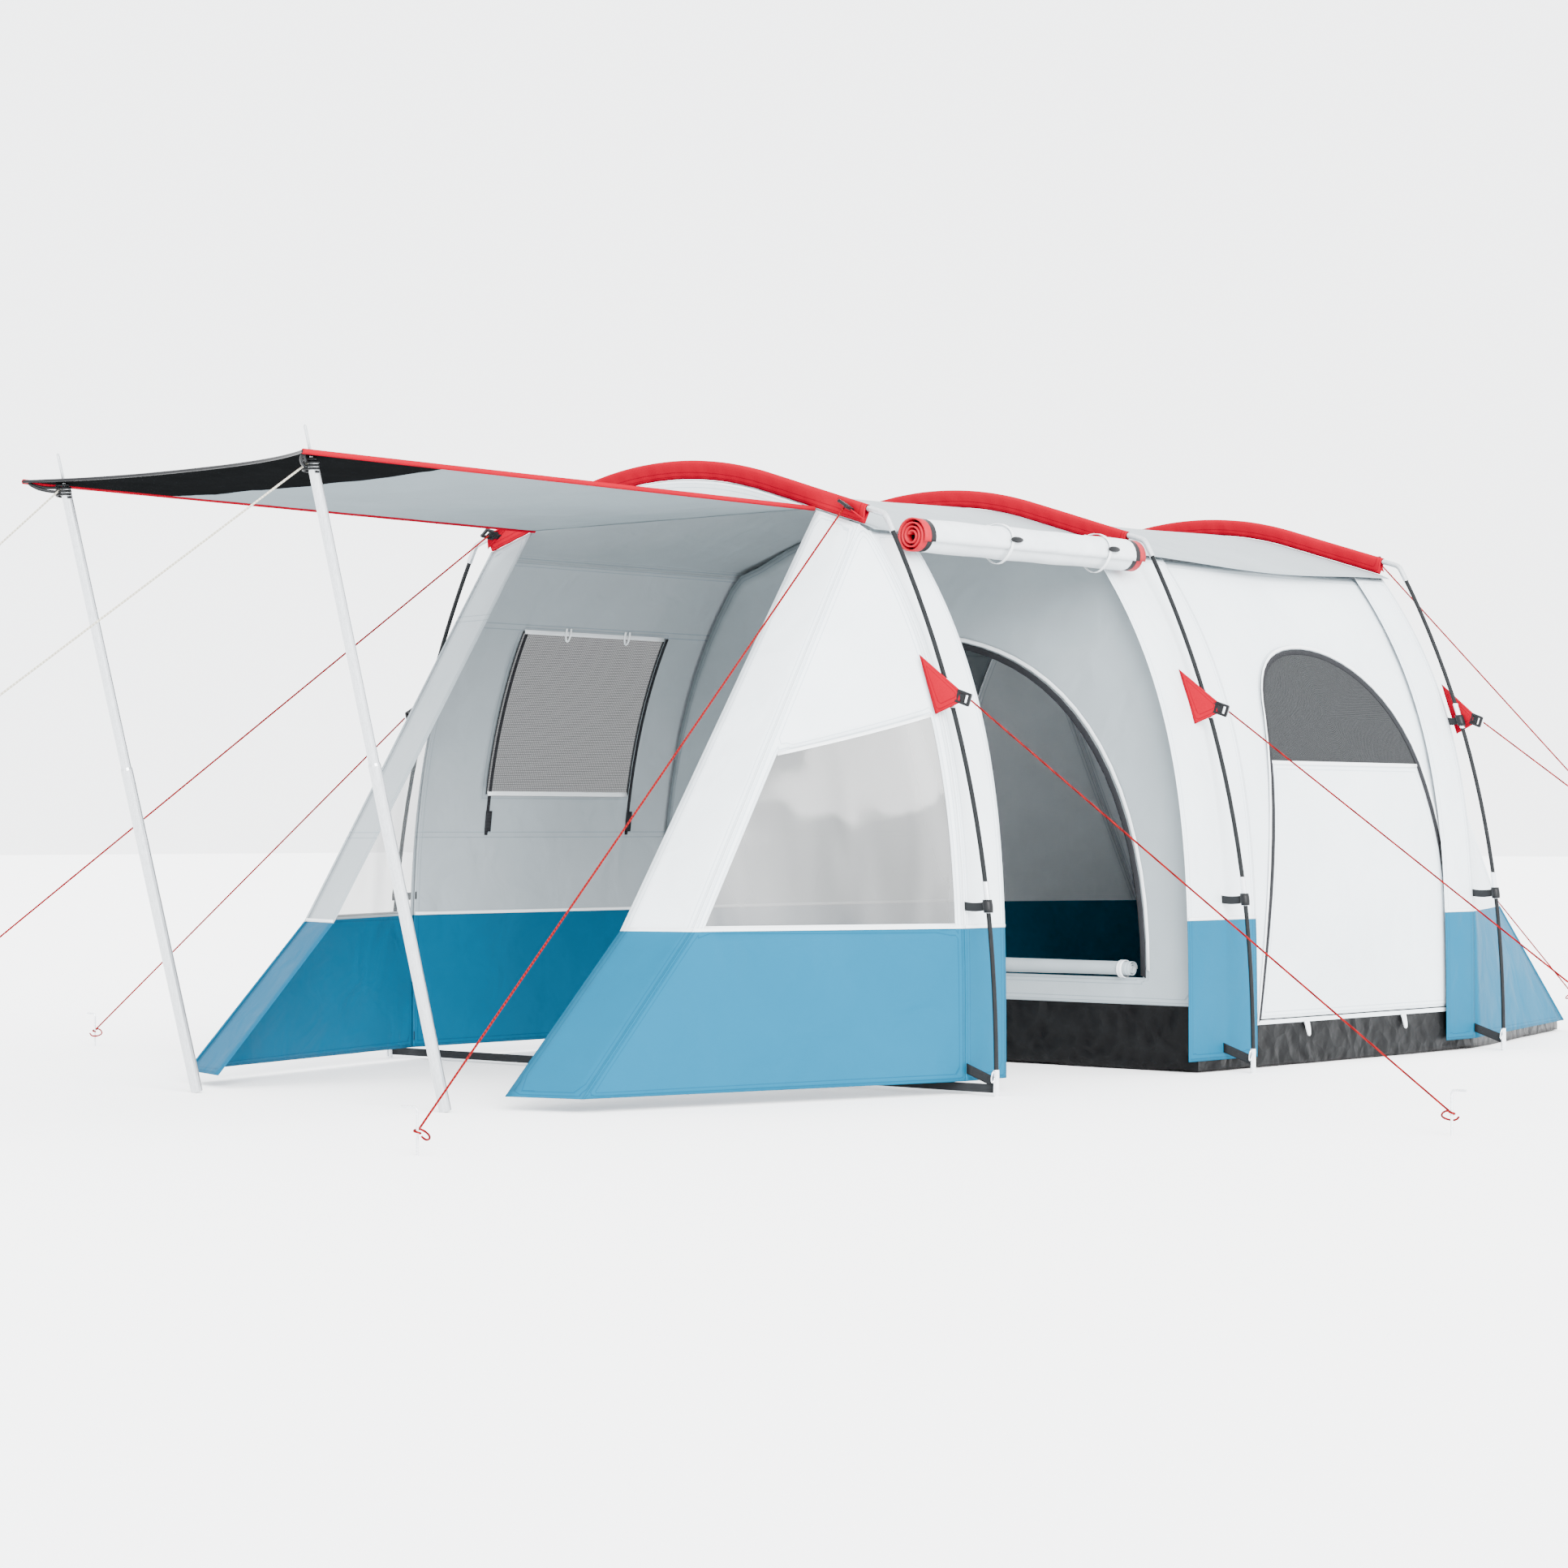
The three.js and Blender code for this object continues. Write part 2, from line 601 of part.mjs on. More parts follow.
// A wall or band from y0 to y1 with the tabs of the arches that it passes.
function wallGeometry(y0, y1, tabs) {
  const wall = flyPiece(0, EAVE_INDEX, y0, y1);
  return join(wall, ...tabs);
}

const roof = flyPiece(EAVE_INDEX, SECTION.length - 1 - EAVE_INDEX, 0, REAR_Y);
add('fly_roof', roof, paleCloth());

const frontTabs = [clipTab(CLIP_Z, TAB_INSET), footTab(TAB_INSET)];
const middleTabs = [clipTab(CLIP_Z, MIDDLE_Y), footTab(MIDDLE_Y), guyFlap(MIDDLE_Y - FLAP_OFFSET)];
const REAR_TAB_Y = REAR_Y - TAB_INSET;
const rearTabs = [clipTab(CLIP_Z, REAR_TAB_Y), footTab(REAR_TAB_Y), clipTab(FLAP_TIP_Z, REAR_TAB_Y)];

const MIDDLE_BAND = [MIDDLE_Y - BAND_HALF_WIDTH, MIDDLE_Y + BAND_HALF_WIDTH];
add('front_band_right', wallGeometry(0, BAND_HALF_WIDTH, frontTabs), paleCloth());
add('middle_band_right', wallGeometry(...MIDDLE_BAND, middleTabs), paleCloth());
add('rear_band_right', wallGeometry(REAR_Y - BAND_HALF_WIDTH, REAR_Y, rearTabs), paleCloth());

// The left side is closed from the front arch to the rear arch.
const leftFrontTabs = [...frontTabs, guyFlap(MIDDLE_Y - FLAP_OFFSET)];
const leftRearTabs = [clipTab(CLIP_Z, MIDDLE_Y + TAB_INSET), footTab(MIDDLE_Y + TAB_INSET), ...rearTabs];

// Side window of the living room: netting in a frame of zips.
const WINDOW_REAR_Y = MIDDLE_Y - WINDOW_BACK;

function windowPrism(margin) {
  const shape = new THREE.Shape([
    new THREE.Vector2(WINDOW_FRONT_Y + margin, WINDOW_LOW_Z + margin),
    new THREE.Vector2(WINDOW_REAR_Y - margin, WINDOW_LOW_Z + margin),
    new THREE.Vector2(WINDOW_REAR_Y - margin, WINDOW_HIGH_Z - margin),
    new THREE.Vector2(WINDOW_FRONT_Y + margin, WINDOW_HIGH_Z - margin),
  ]);
  return plateX(shape, EAVE_X, HEM_HALF_WIDTH + 50);
}

const livingWall = wallGeometry(0, MIDDLE_Y - GAP / 2, leftFrontTabs);
const bedroomWall = wallGeometry(MIDDLE_Y + GAP / 2, REAR_Y, leftRearTabs);
const livingCloth = flyPiece(0, EAVE_INDEX, 0, MIDDLE_Y);
add('living_left_wall', mirrored(cut(livingWall, windowPrism(0))), shadeCloth());
add('bedroom_left_wall', mirrored(bedroomWall), paleCloth());
add('living_window_net', mirrored(keep(livingCloth, windowPrism(GAP))), netting());

// ---------------------------------------------------------------- raked wings and rear wall
function seamX(z) {
  const rise = (z - HEM_Z) / (EAVE_Z - HEM_Z);
  return WING_SEAM_X + (WING_SEAM_TOP_X - WING_SEAM_X) * rise;
}

// How far the raked seam stands off its arch at height z.
function reach(z) {
  if (z >= SKIRT_TOP_Z) {
    return 8 + ((SKIRT_REACH - 8) * (EAVE_Z - z)) / (EAVE_Z - SKIRT_TOP_Z);
  }
  return SKIRT_REACH + ((HEM_REACH - SKIRT_REACH) * (SKIRT_TOP_Z - z)) / (SKIRT_TOP_Z - HEM_Z);
}

// A row's height, stretched above the skirt so that the last row ends at top.
function rowZ(z, top) {
  if (z <= SKIRT_TOP_Z) {
    return z;
  }
  return SKIRT_TOP_Z + ((top - SKIRT_TOP_Z) * (z - SKIRT_TOP_Z)) / (EAVE_Z - SKIRT_TOP_Z);
}

const UNDER_ROOF = CLOTH + SEAM_GAP;

// Side panel between the arch and the raked seam; share is 0 at the arch, 1 at the seam.
function sidePoint(z, share) {
  const arch = point(clothX(z), SEAM_GAP, z);
  const seam = point(seamX(z), reach(z), rowZ(z, roofZ(WING_SEAM_TOP_X) - UNDER_ROOF));
  return arch.lerp(seam, share);
}

function stripPoint(z, share) {
  const top = roofZ(WING_EDGE_X) - UNDER_ROOF;
  const lead = (STRIP_LEAD * (EAVE_Z - Math.max(z, SKIRT_TOP_Z))) / (EAVE_Z - SKIRT_TOP_Z);
  const edge = point(WING_EDGE_X, Math.max(reach(z) + lead - 5, 3), rowZ(z, top));
  return sidePoint(z, 1).lerp(edge, share);
}

const SIDE_SHARES = [0, 0.25, 0.5, 0.75];

// The wing stands ahead of the front arch, so its rows are turned to -Y.
const ahead = (p) => point(p.x, -p.y, p.z);

const wingGrid = WALL_ROWS.map((z) => [
  ...SIDE_SHARES.map((share) => ahead(sidePoint(z, share))),
  ...[0, 0.5, 1].map((share) => ahead(stripPoint(z, share))),
]);

// Clear window of a wing: its lower edge on the skirt seam, its upper edge rising to the arch.
function panePrism(margin) {
  const low = SKIRT_TOP_Z + 8 + margin;
  const shape = new THREE.Shape([
    new THREE.Vector2(-PANE_MARGIN - margin, low),
    new THREE.Vector2(-PANE_MARGIN - margin, PANE_REAR_Z - margin),
    new THREE.Vector2(-reach(PANE_FRONT_Z) + PANE_MARGIN + margin, PANE_FRONT_Z - margin),
    new THREE.Vector2(-reach(low) + PANE_MARGIN + margin, low),
  ]);
  return plateX(shape, WING_EDGE_X, HEM_HALF_WIDTH + 50);
}

// A guy-line flap sewn to a side panel beside the arch; towards is -1 ahead of it, 1 behind it.
function sideFlap(towards) {
  const y = FLAP_OFFSET;
  const root = (z) => {
    const share = (y - SEAM_GAP) / (reach(z) - SEAM_GAP);
    return sidePoint(z, share).x + CLOTH / 2 - SINK * 2;
  };
  const shape = new THREE.Shape([
    new THREE.Vector2(root(FLAP_LOW_Z), FLAP_LOW_Z),
    new THREE.Vector2(FLAP_TIP_X - 40, FLAP_TIP_Z - 14),
    new THREE.Vector2(FLAP_TIP_X, FLAP_TIP_Z - 18),
    new THREE.Vector2(FLAP_TIP_X + 10, FLAP_TIP_Z + 4),
    new THREE.Vector2(FLAP_TIP_X - 32, FLAP_TIP_Z + 22),
    new THREE.Vector2(root(FLAP_TOP_Z), FLAP_TOP_Z),
  ]);
  return plateY(shape, towards * y - TAB / 2, towards * y + TAB / 2);
}

const wing = join(cut(sheet(wingGrid), panePrism(0)), sideFlap(-1));
const pane = keep(sheet(wingGrid, CLOTH / 2), panePrism(GAP));
add('wing_right', wing, paleCloth());
add('wing_left', mirrored(wing), shadeCloth());
add('wing_window_right', pane, film());
add('wing_window_left', mirrored(pane), film());

// Rear wall: two side panels like the wings', and one raked panel between their seams.
function rearRow(z) {
  const right = [...SIDE_SHARES, 1].map((share) => sidePoint(z, share));
  const middle = [0.75, 0.5, 0.25, 0].map((share) => {
    const x = seamX(z) * share;
    return point(x, reach(z), rowZ(z, roofZ(WING_SEAM_TOP_X * share) - UNDER_ROOF));
  });
  const half = [...right, ...middle].map((p) => point(p.x, REAR_Y + p.y, p.z));
  const left = half.slice(0, -1).reverse().map((p) => point(-p.x, p.y, p.z));
  return [...half, ...left];
}

const rearFlap = sideFlap(1).translate(0, REAR_Y, 0);
add('rear_wall', join(sheet(WALL_ROWS.map(rearRow)), rearFlap, mirrored(rearFlap)), paleCloth());

// ---------------------------------------------------------------- bedroom
const TUB_TOP_HALF = clothX(TUB_HEIGHT) - INNER_INSET + CLOTH / 2;

function tubOutline(z, half, tail, less) {
  const rearY = REAR_Y + tail - less;
  const rearHalf = seamX(z) - TUB_REAR_CLEAR - less;
  const frontY = CROSS_WALL_Y + less;
  return [
    point(half - less, frontY, z),
    point(half - less, REAR_Y, z),
    point(rearHalf, rearY, z),
    point(-rearHalf, rearY, z),
    point(-half + less, REAR_Y, z),
    point(-half + less, frontY, z),
  ];
}

function groundsheetGeometry() {
  const lowTail = reach(HEM_Z) - TUB_REAR_CLEAR;
  const highTail = reach(TUB_HEIGHT) - TUB_REAR_CLEAR;
  const outer = loft(
    tubOutline(0, TUB_HALF_WIDTH, lowTail, 0),
    tubOutline(TUB_HEIGHT, TUB_TOP_HALF, highTail, 0),
  );
  const inner = loft(
    tubOutline(TUB_CLOTH, TUB_HALF_WIDTH, lowTail, TUB_CLOTH),
    tubOutline(TUB_HEIGHT + 5, TUB_TOP_HALF, highTail, TUB_CLOTH),
  );
  const front = new THREE.Shape([
    new THREE.Vector2(-TUB_TOP_HALF, TUB_HEIGHT - 12),
    new THREE.Vector2(TUB_TOP_HALF, TUB_HEIGHT - 12),
    new THREE.Vector2(TUB_TOP_HALF - 1, TUB_FRONT_HEIGHT),
    new THREE.Vector2(-TUB_TOP_HALF + 1, TUB_FRONT_HEIGHT),
  ]);
  return join(cut(outer, inner), plateY(front, CROSS_WALL_Y, CROSS_WALL_Y + TUB_CLOTH));
}

add('groundsheet', groundsheetGeometry(), floorCloth());

// Front wall of the bedroom: hung under the roof, standing on the tub, with an arched doorway.
function doorwayOutline(halfWidth, topZ, sillZ) {
  const path = new THREE.Path();
  const rise = topZ - TUB_FRONT_HEIGHT;
  path.moveTo(-halfWidth, sillZ);
  path.lineTo(halfWidth, sillZ);
  path.bezierCurveTo(halfWidth, TUB_FRONT_HEIGHT + rise * 0.72, halfWidth * 0.55, topZ, 0, topZ);
  path.bezierCurveTo(-halfWidth * 0.55, topZ, -halfWidth, TUB_FRONT_HEIGHT + rise * 0.72, -halfWidth, sillZ);
  return path;
}

function crossWallGeometry() {
  const right = [];
  const low = TUB_FRONT_HEIGHT + GAP;
  right.push(point(clothX(low) - INNER_INSET, 0, low));
  for (const z of WALL_ROWS.filter((row) => row > low + 20 && row < EAVE_Z)) {
    right.push(point(clothX(z) - INNER_INSET, 0, z));
  }
  for (const x of [EAVE_X - 30, HUNG_HALF + 40]) {
    right.push(point(x, 0, roofZ(x) - INNER_INSET * 1.3));
  }
  for (const x of [HUNG_HALF, 340, 230, 115]) {
    right.push(point(x, 0, roofZ(x) - CLOTH / 2 - GAP - 0.3));
  }
  const middle = point(0, 0, roofZ(0) - CLOTH / 2 - GAP - 0.3);
  const left = right.map((p) => point(-p.x, 0, p.z)).reverse();
  const shape = new THREE.Shape([...right, middle, ...left].map((p) => new THREE.Vector2(p.x, p.z)));
  shape.holes.push(doorwayOutline(DOORWAY_HALF_WIDTH, DOORWAY_TOP_Z, DOORWAY_SILL_Z));
  return plateY(shape, CROSS_WALL_Y, CROSS_WALL_Y + CLOTH);
}

add('cross_wall', crossWallGeometry(), shadeCloth());

const innerRollLength = 2 * DOORWAY_HALF_WIDTH - 60;
const innerRoll = new THREE.CylinderGeometry(INNER_ROLL_RADIUS, INNER_ROLL_RADIUS, innerRollLength, 14);
innerRoll.rotateZ(Math.PI / 2);
innerRoll.translate(0, CROSS_WALL_Y + CLOTH / 2, DOORWAY_SILL_Z + INNER_ROLL_RADIUS + GAP);
add('inner_door_roll', innerRoll, paleCloth());

// Side panel of the bedroom and its D-shaped door, which hinges down about its lower edge.
const DOOR_FRONT_Y = MIDDLE_Y + DOOR_BEHIND;
const DOOR_REAR_Y = REAR_Y - DOOR_AHEAD;

function doorPrism(margin) {
  const shape = new THREE.Shape();
  const front = DOOR_FRONT_Y + margin;
  const rear = DOOR_REAR_Y - margin;
  const top = DOOR_TOP_Z - margin;
  const low = DOOR_LOW_Z + margin;
  shape.moveTo(front, low);
  shape.lineTo(rear, low);
  shape.bezierCurveTo(rear, low + 330, rear - 20, top - 520, rear - 90, top - 300);
  shape.bezierCurveTo(rear - 170, top - 90, rear - 340, top, rear - 520, top);
  shape.bezierCurveTo(front + 260, top, front + 165, top - 60, front + 148, top - 190);
  shape.closePath();
  return plateX(shape, EAVE_X, HEM_HALF_WIDTH + 50);
}

const innerSide = flyPiece(1, EAVE_INDEX, CROSS_WALL_Y + TUB_CLOTH + GAP, REAR_Y - GAP, INNER_INSET);
add('bedroom_side_panel', cut(innerSide, doorPrism(0)), paleCloth());
add('bedroom_side_door', keep(innerSide, doorPrism(ZIP_GAP)), paleCloth());

// ---------------------------------------------------------------- side door, rolled up
const ROLL_FRONT_Y = ROLL_AHEAD;
const ROLL_REAR_Y = MIDDLE_Y - ROLL_AHEAD;
const ROLL_TOUCH = Array.from({ length: 25 }, (_, k) => {
  const down = (ROLL_RADIUS * k) / 24;
  return clothX(ROLL_Z - down) + Math.sqrt(ROLL_RADIUS ** 2 - down ** 2);
});
const ROLL_X = Math.max(...ROLL_TOUCH) + CLOTH / 2 + 2 * GAP;
const sideRoll = new THREE.CylinderGeometry(ROLL_RADIUS, ROLL_RADIUS, ROLL_REAR_Y - ROLL_FRONT_Y, 20);
sideRoll.translate(ROLL_X, (ROLL_FRONT_Y + ROLL_REAR_Y) / 2, ROLL_Z);
add('side_door_roll', sideRoll, paleCloth());

// ---------------------------------------------------------------- canopy and its poles
const AWNING_EDGE_Y = -SEAM_GAP - CLOTH / 2;
const AWNING_SHARES = [-1, -0.88, -0.66, -0.33, 0, 0.33, 0.66, 0.88, 1];
const AWNING_STOPS = AWNING_SHARES.map((share) => share * AWNING_HALF_WIDTH);

function awningFrontY(x) {
  const out = Math.abs(x) / AWNING_HALF_WIDTH;
  return -AWNING_REACH + AWNING_FRONT_HOLLOW * (1 - out ** 2.5);
}

function awningZ(share, x) {
  const sag = AWNING_SAG * Math.sin(Math.PI * share) * Math.cos((Math.PI * x) / (2 * AWNING_HALF_WIDTH));
  return AWNING_FRONT_Z + (AWNING_REAR_Z - AWNING_FRONT_Z) * share - sag;
}

function awningGeometry() {
  const shares = [0, 0.05, 0.2, 0.4, 0.6, 0.8, 1];
  const rows = shares.map((share) => AWNING_STOPS.map((x) => {
    const front = awningFrontY(x);
    return point(x, front + (AWNING_EDGE_Y - front) * share, awningZ(share, x));
  }));
  const crest = AWNING_STOPS.map((x) => {
    const top = Math.max(roofZ(x) - CLOTH / 2 - GAP, AWNING_REAR_Z + 3);
    return point(x, AWNING_EDGE_Y, top);
  });
  return sheet([...rows, crest]);
}

const POLE_SHARE = (POLE_TOP_Y - awningFrontY(POLE_X)) / (AWNING_EDGE_Y - awningFrontY(POLE_X));
const GROMMET_Z = awningZ(POLE_SHARE, POLE_X);
const POLE_LEAN = Math.atan((POLE_FOOT_Y - POLE_TOP_Y) / GROMMET_Z);
const FOOT_LIFT = POLE_RADIUS * Math.sin(POLE_LEAN);
const POLE_LENGTH = (GROMMET_Z - FOOT_LIFT) / Math.cos(POLE_LEAN) - SHOULDER_DROP;

function awningPoleGeometry() {
  const profile = [
    [POLE_RADIUS - POLE_WALL, 0],
    [POLE_RADIUS, 0],
    [POLE_RADIUS, POLE_JOIN],
    [POLE_UPPER_RADIUS, POLE_JOIN + 6],
    [POLE_UPPER_RADIUS, POLE_LENGTH - 9],
    [SPIKE_RADIUS, POLE_LENGTH],
    [SPIKE_RADIUS, POLE_LENGTH + SPIKE_LENGTH - 4],
    [0, POLE_LENGTH + SPIKE_LENGTH],
    [0, POLE_LENGTH - 13],
    [POLE_UPPER_RADIUS - POLE_WALL, POLE_LENGTH - 13],
    [POLE_UPPER_RADIUS - POLE_WALL, POLE_JOIN],
    [POLE_RADIUS - POLE_WALL, POLE_JOIN - 6],
    [POLE_RADIUS - POLE_WALL, 0],
  ].map(([r, z]) => new THREE.Vector2(r, z));
  const geometry = new THREE.LatheGeometry(profile, 14);
  geometry.rotateX(Math.PI / 2);
  geometry.rotateX(POLE_LEAN);
  geometry.translate(POLE_X, POLE_FOOT_Y, FOOT_LIFT);
  return geometry;
}

const GROMMET_RADIUS = SPIKE_RADIUS + 1.15;
const GROMMET_Y = POLE_FOOT_Y - Math.tan(POLE_LEAN) * (GROMMET_Z - FOOT_LIFT);
const grommets = [-POLE_X, POLE_X].map((x) => {
  const bore = straight(point(x, GROMMET_Y, GROMMET_Z - 20), point(x, GROMMET_Y, GROMMET_Z + 20));
  return tube(bore, GROMMET_RADIUS, 1, 12);
});
add('awning', cut(awningGeometry(), ...grommets), shadeCloth());
add('awning_pole_right', awningPoleGeometry(), steel());
add('awning_pole_left', mirrored(awningPoleGeometry()), steel());

// ---------------------------------------------------------------- foot strap
const strapLength = 2 * (FOOT_HALF_WIDTH - FERRULE_RADIUS - GAP);
const footStrap = new THREE.BoxGeometry(strapLength, CLOTH, 20);
footStrap.translate(0, 0, 18);
add('foot_strap', footStrap, webbing());

// ---------------------------------------------------------------- guy lines and pegs
// Each line runs taut from its flap to its peg; pegs are [x, y] from the front arch.
const sideTip = (side, y) => [side * (FLAP_TIP_X + 5.8), y, FLAP_TIP_Z - 7.4];
const sleeveTip = (side, y) => [side * CORNER_TIP[0], y, CORNER_TIP[2]];
const FRONT_TIP_Y = -CORNER_TIP[1] - 1.8;
const REAR_TIP_Y = REAR_Y + CORNER_TIP[1] + 2;
const SIDE_TIPS_Y = [-FLAP_OFFSET, MIDDLE_Y - FLAP_OFFSET, REAR_Y + FLAP_OFFSET];
// Where its line is tied round the top of a canopy pole, under the cloth.
const POLE_TIE = [POLE_X, POLE_TOP_Y - 8.4, AWNING_FRONT_Z - 16];
const GUYS = [
  { name: 'front_right', from: sleeveTip(1, FRONT_TIP_Y), peg: [1139, -1881], turn: 200 },
  { name: 'front_left', from: sleeveTip(-1, FRONT_TIP_Y), peg: [-1184, -1633], turn: 340 },
  { name: 'side_front_right', from: sideTip(1, SIDE_TIPS_Y[0]), peg: [2373, -192], turn: 0 },
  { name: 'side_front_left', from: sideTip(-1, SIDE_TIPS_Y[0]), peg: [-2041, -234], turn: 180 },
  { name: 'side_middle_right', from: sideTip(1, SIDE_TIPS_Y[1]), peg: [2373, 853], turn: 0 },
  { name: 'side_rear_right', from: sideTip(1, SIDE_TIPS_Y[2]), peg: [2373, 2081], turn: 0 },
  { name: 'rear_right', from: sleeveTip(1, REAR_TIP_Y), peg: [1269, 3596], turn: 60 },
  { name: 'rear_middle', from: [0, REAR_Y + CENTRE_TIP[1] + 1.6, CENTRE_TIP[2]], peg: [0, 4526], turn: 90 },
  { name: 'awning_right', from: POLE_TIE, peg: [102, -3384], turn: 270 },
  { name: 'awning_left', from: [-POLE_TIE[0], POLE_TIE[1], POLE_TIE[2]], peg: [-102, -3384], turn: 270 },
];

function pegGeometry(turn) {
  const bend = 7;
  const path = new THREE.CurvePath();
  path.add(straight(point(0, 0, 0), point(0, 0, PEG_HEIGHT - bend)));
  const corner = [point(0, 0, PEG_HEIGHT - bend), point(0, 0, PEG_HEIGHT), point(bend, 0, PEG_HEIGHT)];
  path.add(new THREE.QuadraticBezierCurve3(...corner));
  path.add(straight(point(bend, 0, PEG_HEIGHT), point(PEG_HOOK, 0, PEG_HEIGHT)));
  const geometry = tube(path, PEG_RADIUS, 16, 8);
  geometry.rotateZ(THREE.MathUtils.degToRad(turn));
  return geometry;
}

for (const guy of GUYS) {
  const start = point(...guy.from);
  const foot = point(guy.peg[0], guy.peg[1], TIE_Z);
  const away = start.clone().sub(foot).normalize();
  const flat = Math.hypot(away.x, away.y);
  const back = (PEG_RADIUS + GAP + GUY_RADIUS * away.z) / flat;
  const line = tube(straight(start, foot.clone().addScaledVector(away, back)), GUY_RADIUS, 3, 8);
  const material = guy.name.startsWith('awning') ? paleCord() : redCord();
  add(`guy_${guy.name}`, line, material);
  const peg = add(`peg_${guy.name}`, pegGeometry(guy.turn), steel());
  peg.position.set(guy.peg[0], guy.peg[1], 0);
}

tent.position.y = -ORIGIN_Y;

export default tent;
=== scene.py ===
import bpy
import bmesh
from math import atan2, ceil, copysign, cos, hypot, pi, radians, sin, sqrt, tan
from functools import partial
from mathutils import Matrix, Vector, noise


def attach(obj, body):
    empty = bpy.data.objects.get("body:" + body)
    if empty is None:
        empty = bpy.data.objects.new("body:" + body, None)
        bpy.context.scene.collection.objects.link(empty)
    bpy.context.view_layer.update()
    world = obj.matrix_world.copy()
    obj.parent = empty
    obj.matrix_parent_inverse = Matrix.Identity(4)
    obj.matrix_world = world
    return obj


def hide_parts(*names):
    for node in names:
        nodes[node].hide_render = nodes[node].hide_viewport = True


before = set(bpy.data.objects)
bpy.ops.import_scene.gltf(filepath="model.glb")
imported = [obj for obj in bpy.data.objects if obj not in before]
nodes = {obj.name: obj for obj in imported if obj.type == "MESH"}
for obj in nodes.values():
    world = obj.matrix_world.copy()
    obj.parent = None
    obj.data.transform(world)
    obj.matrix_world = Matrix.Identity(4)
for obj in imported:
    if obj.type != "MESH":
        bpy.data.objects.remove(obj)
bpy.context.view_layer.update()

# ---- camera
# A long lens low in front of the right corner, looking across the porch to the rear.
# It is level but for a hair, so the poles stand upright in its view.
camera = bpy.data.objects.new("camera", bpy.data.cameras.new("camera"))
link = bpy.context.scene.collection.objects.link
link(camera)
camera.location = (6.1311, -7.2234, 0.6224)
camera.rotation_euler = (radians(90.7084), 0, radians(41.9005))
camera.data.sensor_width = 36
camera.data.lens = 80.90
bpy.context.scene.camera = camera

# ---- guy lines
# Braided polyester cords, 4.5 mm, drawn taut from the flaps and canopy poles to the pegs.
# Each is tied off with a loop and a short tail round its peg; eight are red, two are natural white.
FRONT_Y = -0.8215
MIDDLE_Y = FRONT_Y + 1.045
REAR_Y = MIDDLE_Y + 1.230
LINE_RADIUS = 0.00225
TIE_Z = 0.045
SIDES = (("right", 1), ("left", -1))
ARCHES = (("front", FRONT_Y), ("middle", MIDDLE_Y), ("rear", REAR_Y))


def linear(shade):
    parts = [int(shade[k:k + 2], 16) / 255 for k in (1, 3, 5)]
    return tuple(c / 12.92 if c <= 0.04045 else ((c + 0.055) / 1.055) ** 2.4 for c in parts) + (1.0,)


def add_node(tree, kind, inputs, out=0, **settings):
    made = tree.nodes.new("ShaderNode" + kind)
    for name, value in settings.items():
        setattr(made, name, value)
    for socket, value in inputs.items():
        if isinstance(value, bpy.types.NodeSocket):
            tree.links.new(value, made.inputs[socket])
        else:
            made.inputs[socket].default_value = value
    return made.outputs[out] if made.outputs else made


def new_material(name, spot="Object"):
    material = bpy.data.materials.new(name)
    material.use_nodes = True
    material.node_tree.nodes.clear()
    add = partial(add_node, material.node_tree)
    return material, add, add("TexCoord", {}, spot)


# Ends a material: its colour and roughness, and a relief given as height, strength and distance.
def surface(add, colour, rough, specular=0.5, relief=None, **inputs):
    if relief:
        inputs["Normal"] = add("Bump", dict(zip(("Height", "Strength", "Distance"), relief)))
    shader = add("BsdfPrincipled",
        {"Base Color": colour, "Roughness": rough, "Specular IOR Level": specular, **inputs})
    add("OutputMaterial", {"Surface": shader})


# Ends a material of two shades, mixed by a pattern's share.
def two_tone(add, share, shade, other, *rest, **inputs):
    tone = add("Mix", {0: share, 6: linear(shade), 7: linear(other)}, 2, data_type="RGBA")
    surface(add, tone, *rest, **inputs)


# Braided polyester: a herringbone of fine strands that breaks the light into small ticks.
# The braid is drawn at 6 mm, coarser than the real 2 mm, so that it still shows.
def braided_cord(name, shade, dark):
    material, add, place = new_material(name)
    one_way = add("TexWave", {"Vector": place, "Scale": 52.0}, "Fac", bands_direction="DIAGONAL")
    other = add("TexNoise", {"Vector": place, "Scale": 260.0, "Detail": 2.0})
    strands = add("Math", {0: one_way, 1: other}, operation="MULTIPLY")
    two_tone(add, strands, dark, shade, 0.62, 0.05, relief=(strands, 0.6, 0.0008))
    return material


red_cord = braided_cord("braided polyester cord red", "#960008", "#4a0003")
pale_cord = braided_cord("braided polyester cord natural", "#cbc8bc", "#8d897c")


def shown(name, data, material, body="tent"):
    made = bpy.data.objects.new(name, data)
    link(made)
    data.materials.append(material)
    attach(made, body)
    return made


def rope(name, points, radius, material, smooth=True):
    data = bpy.data.curves.new(name, "CURVE")
    data.dimensions = "3D"
    spline = data.splines.new("NURBS" if smooth else "POLY")
    spline.points.add(len(points) - 1)
    for knot, at in zip(spline.points, points):
        knot.co = (*at, 1.0)
    if smooth:
        spline.order_u = 4
        spline.use_endpoint_u = True
        spline.resolution_u = 4
    data.bevel_depth = radius
    data.bevel_resolution = 2
    data.use_fill_caps = True
    return shown(name, data, material)


def between(a, b, share):
    return a + (b - a) * share


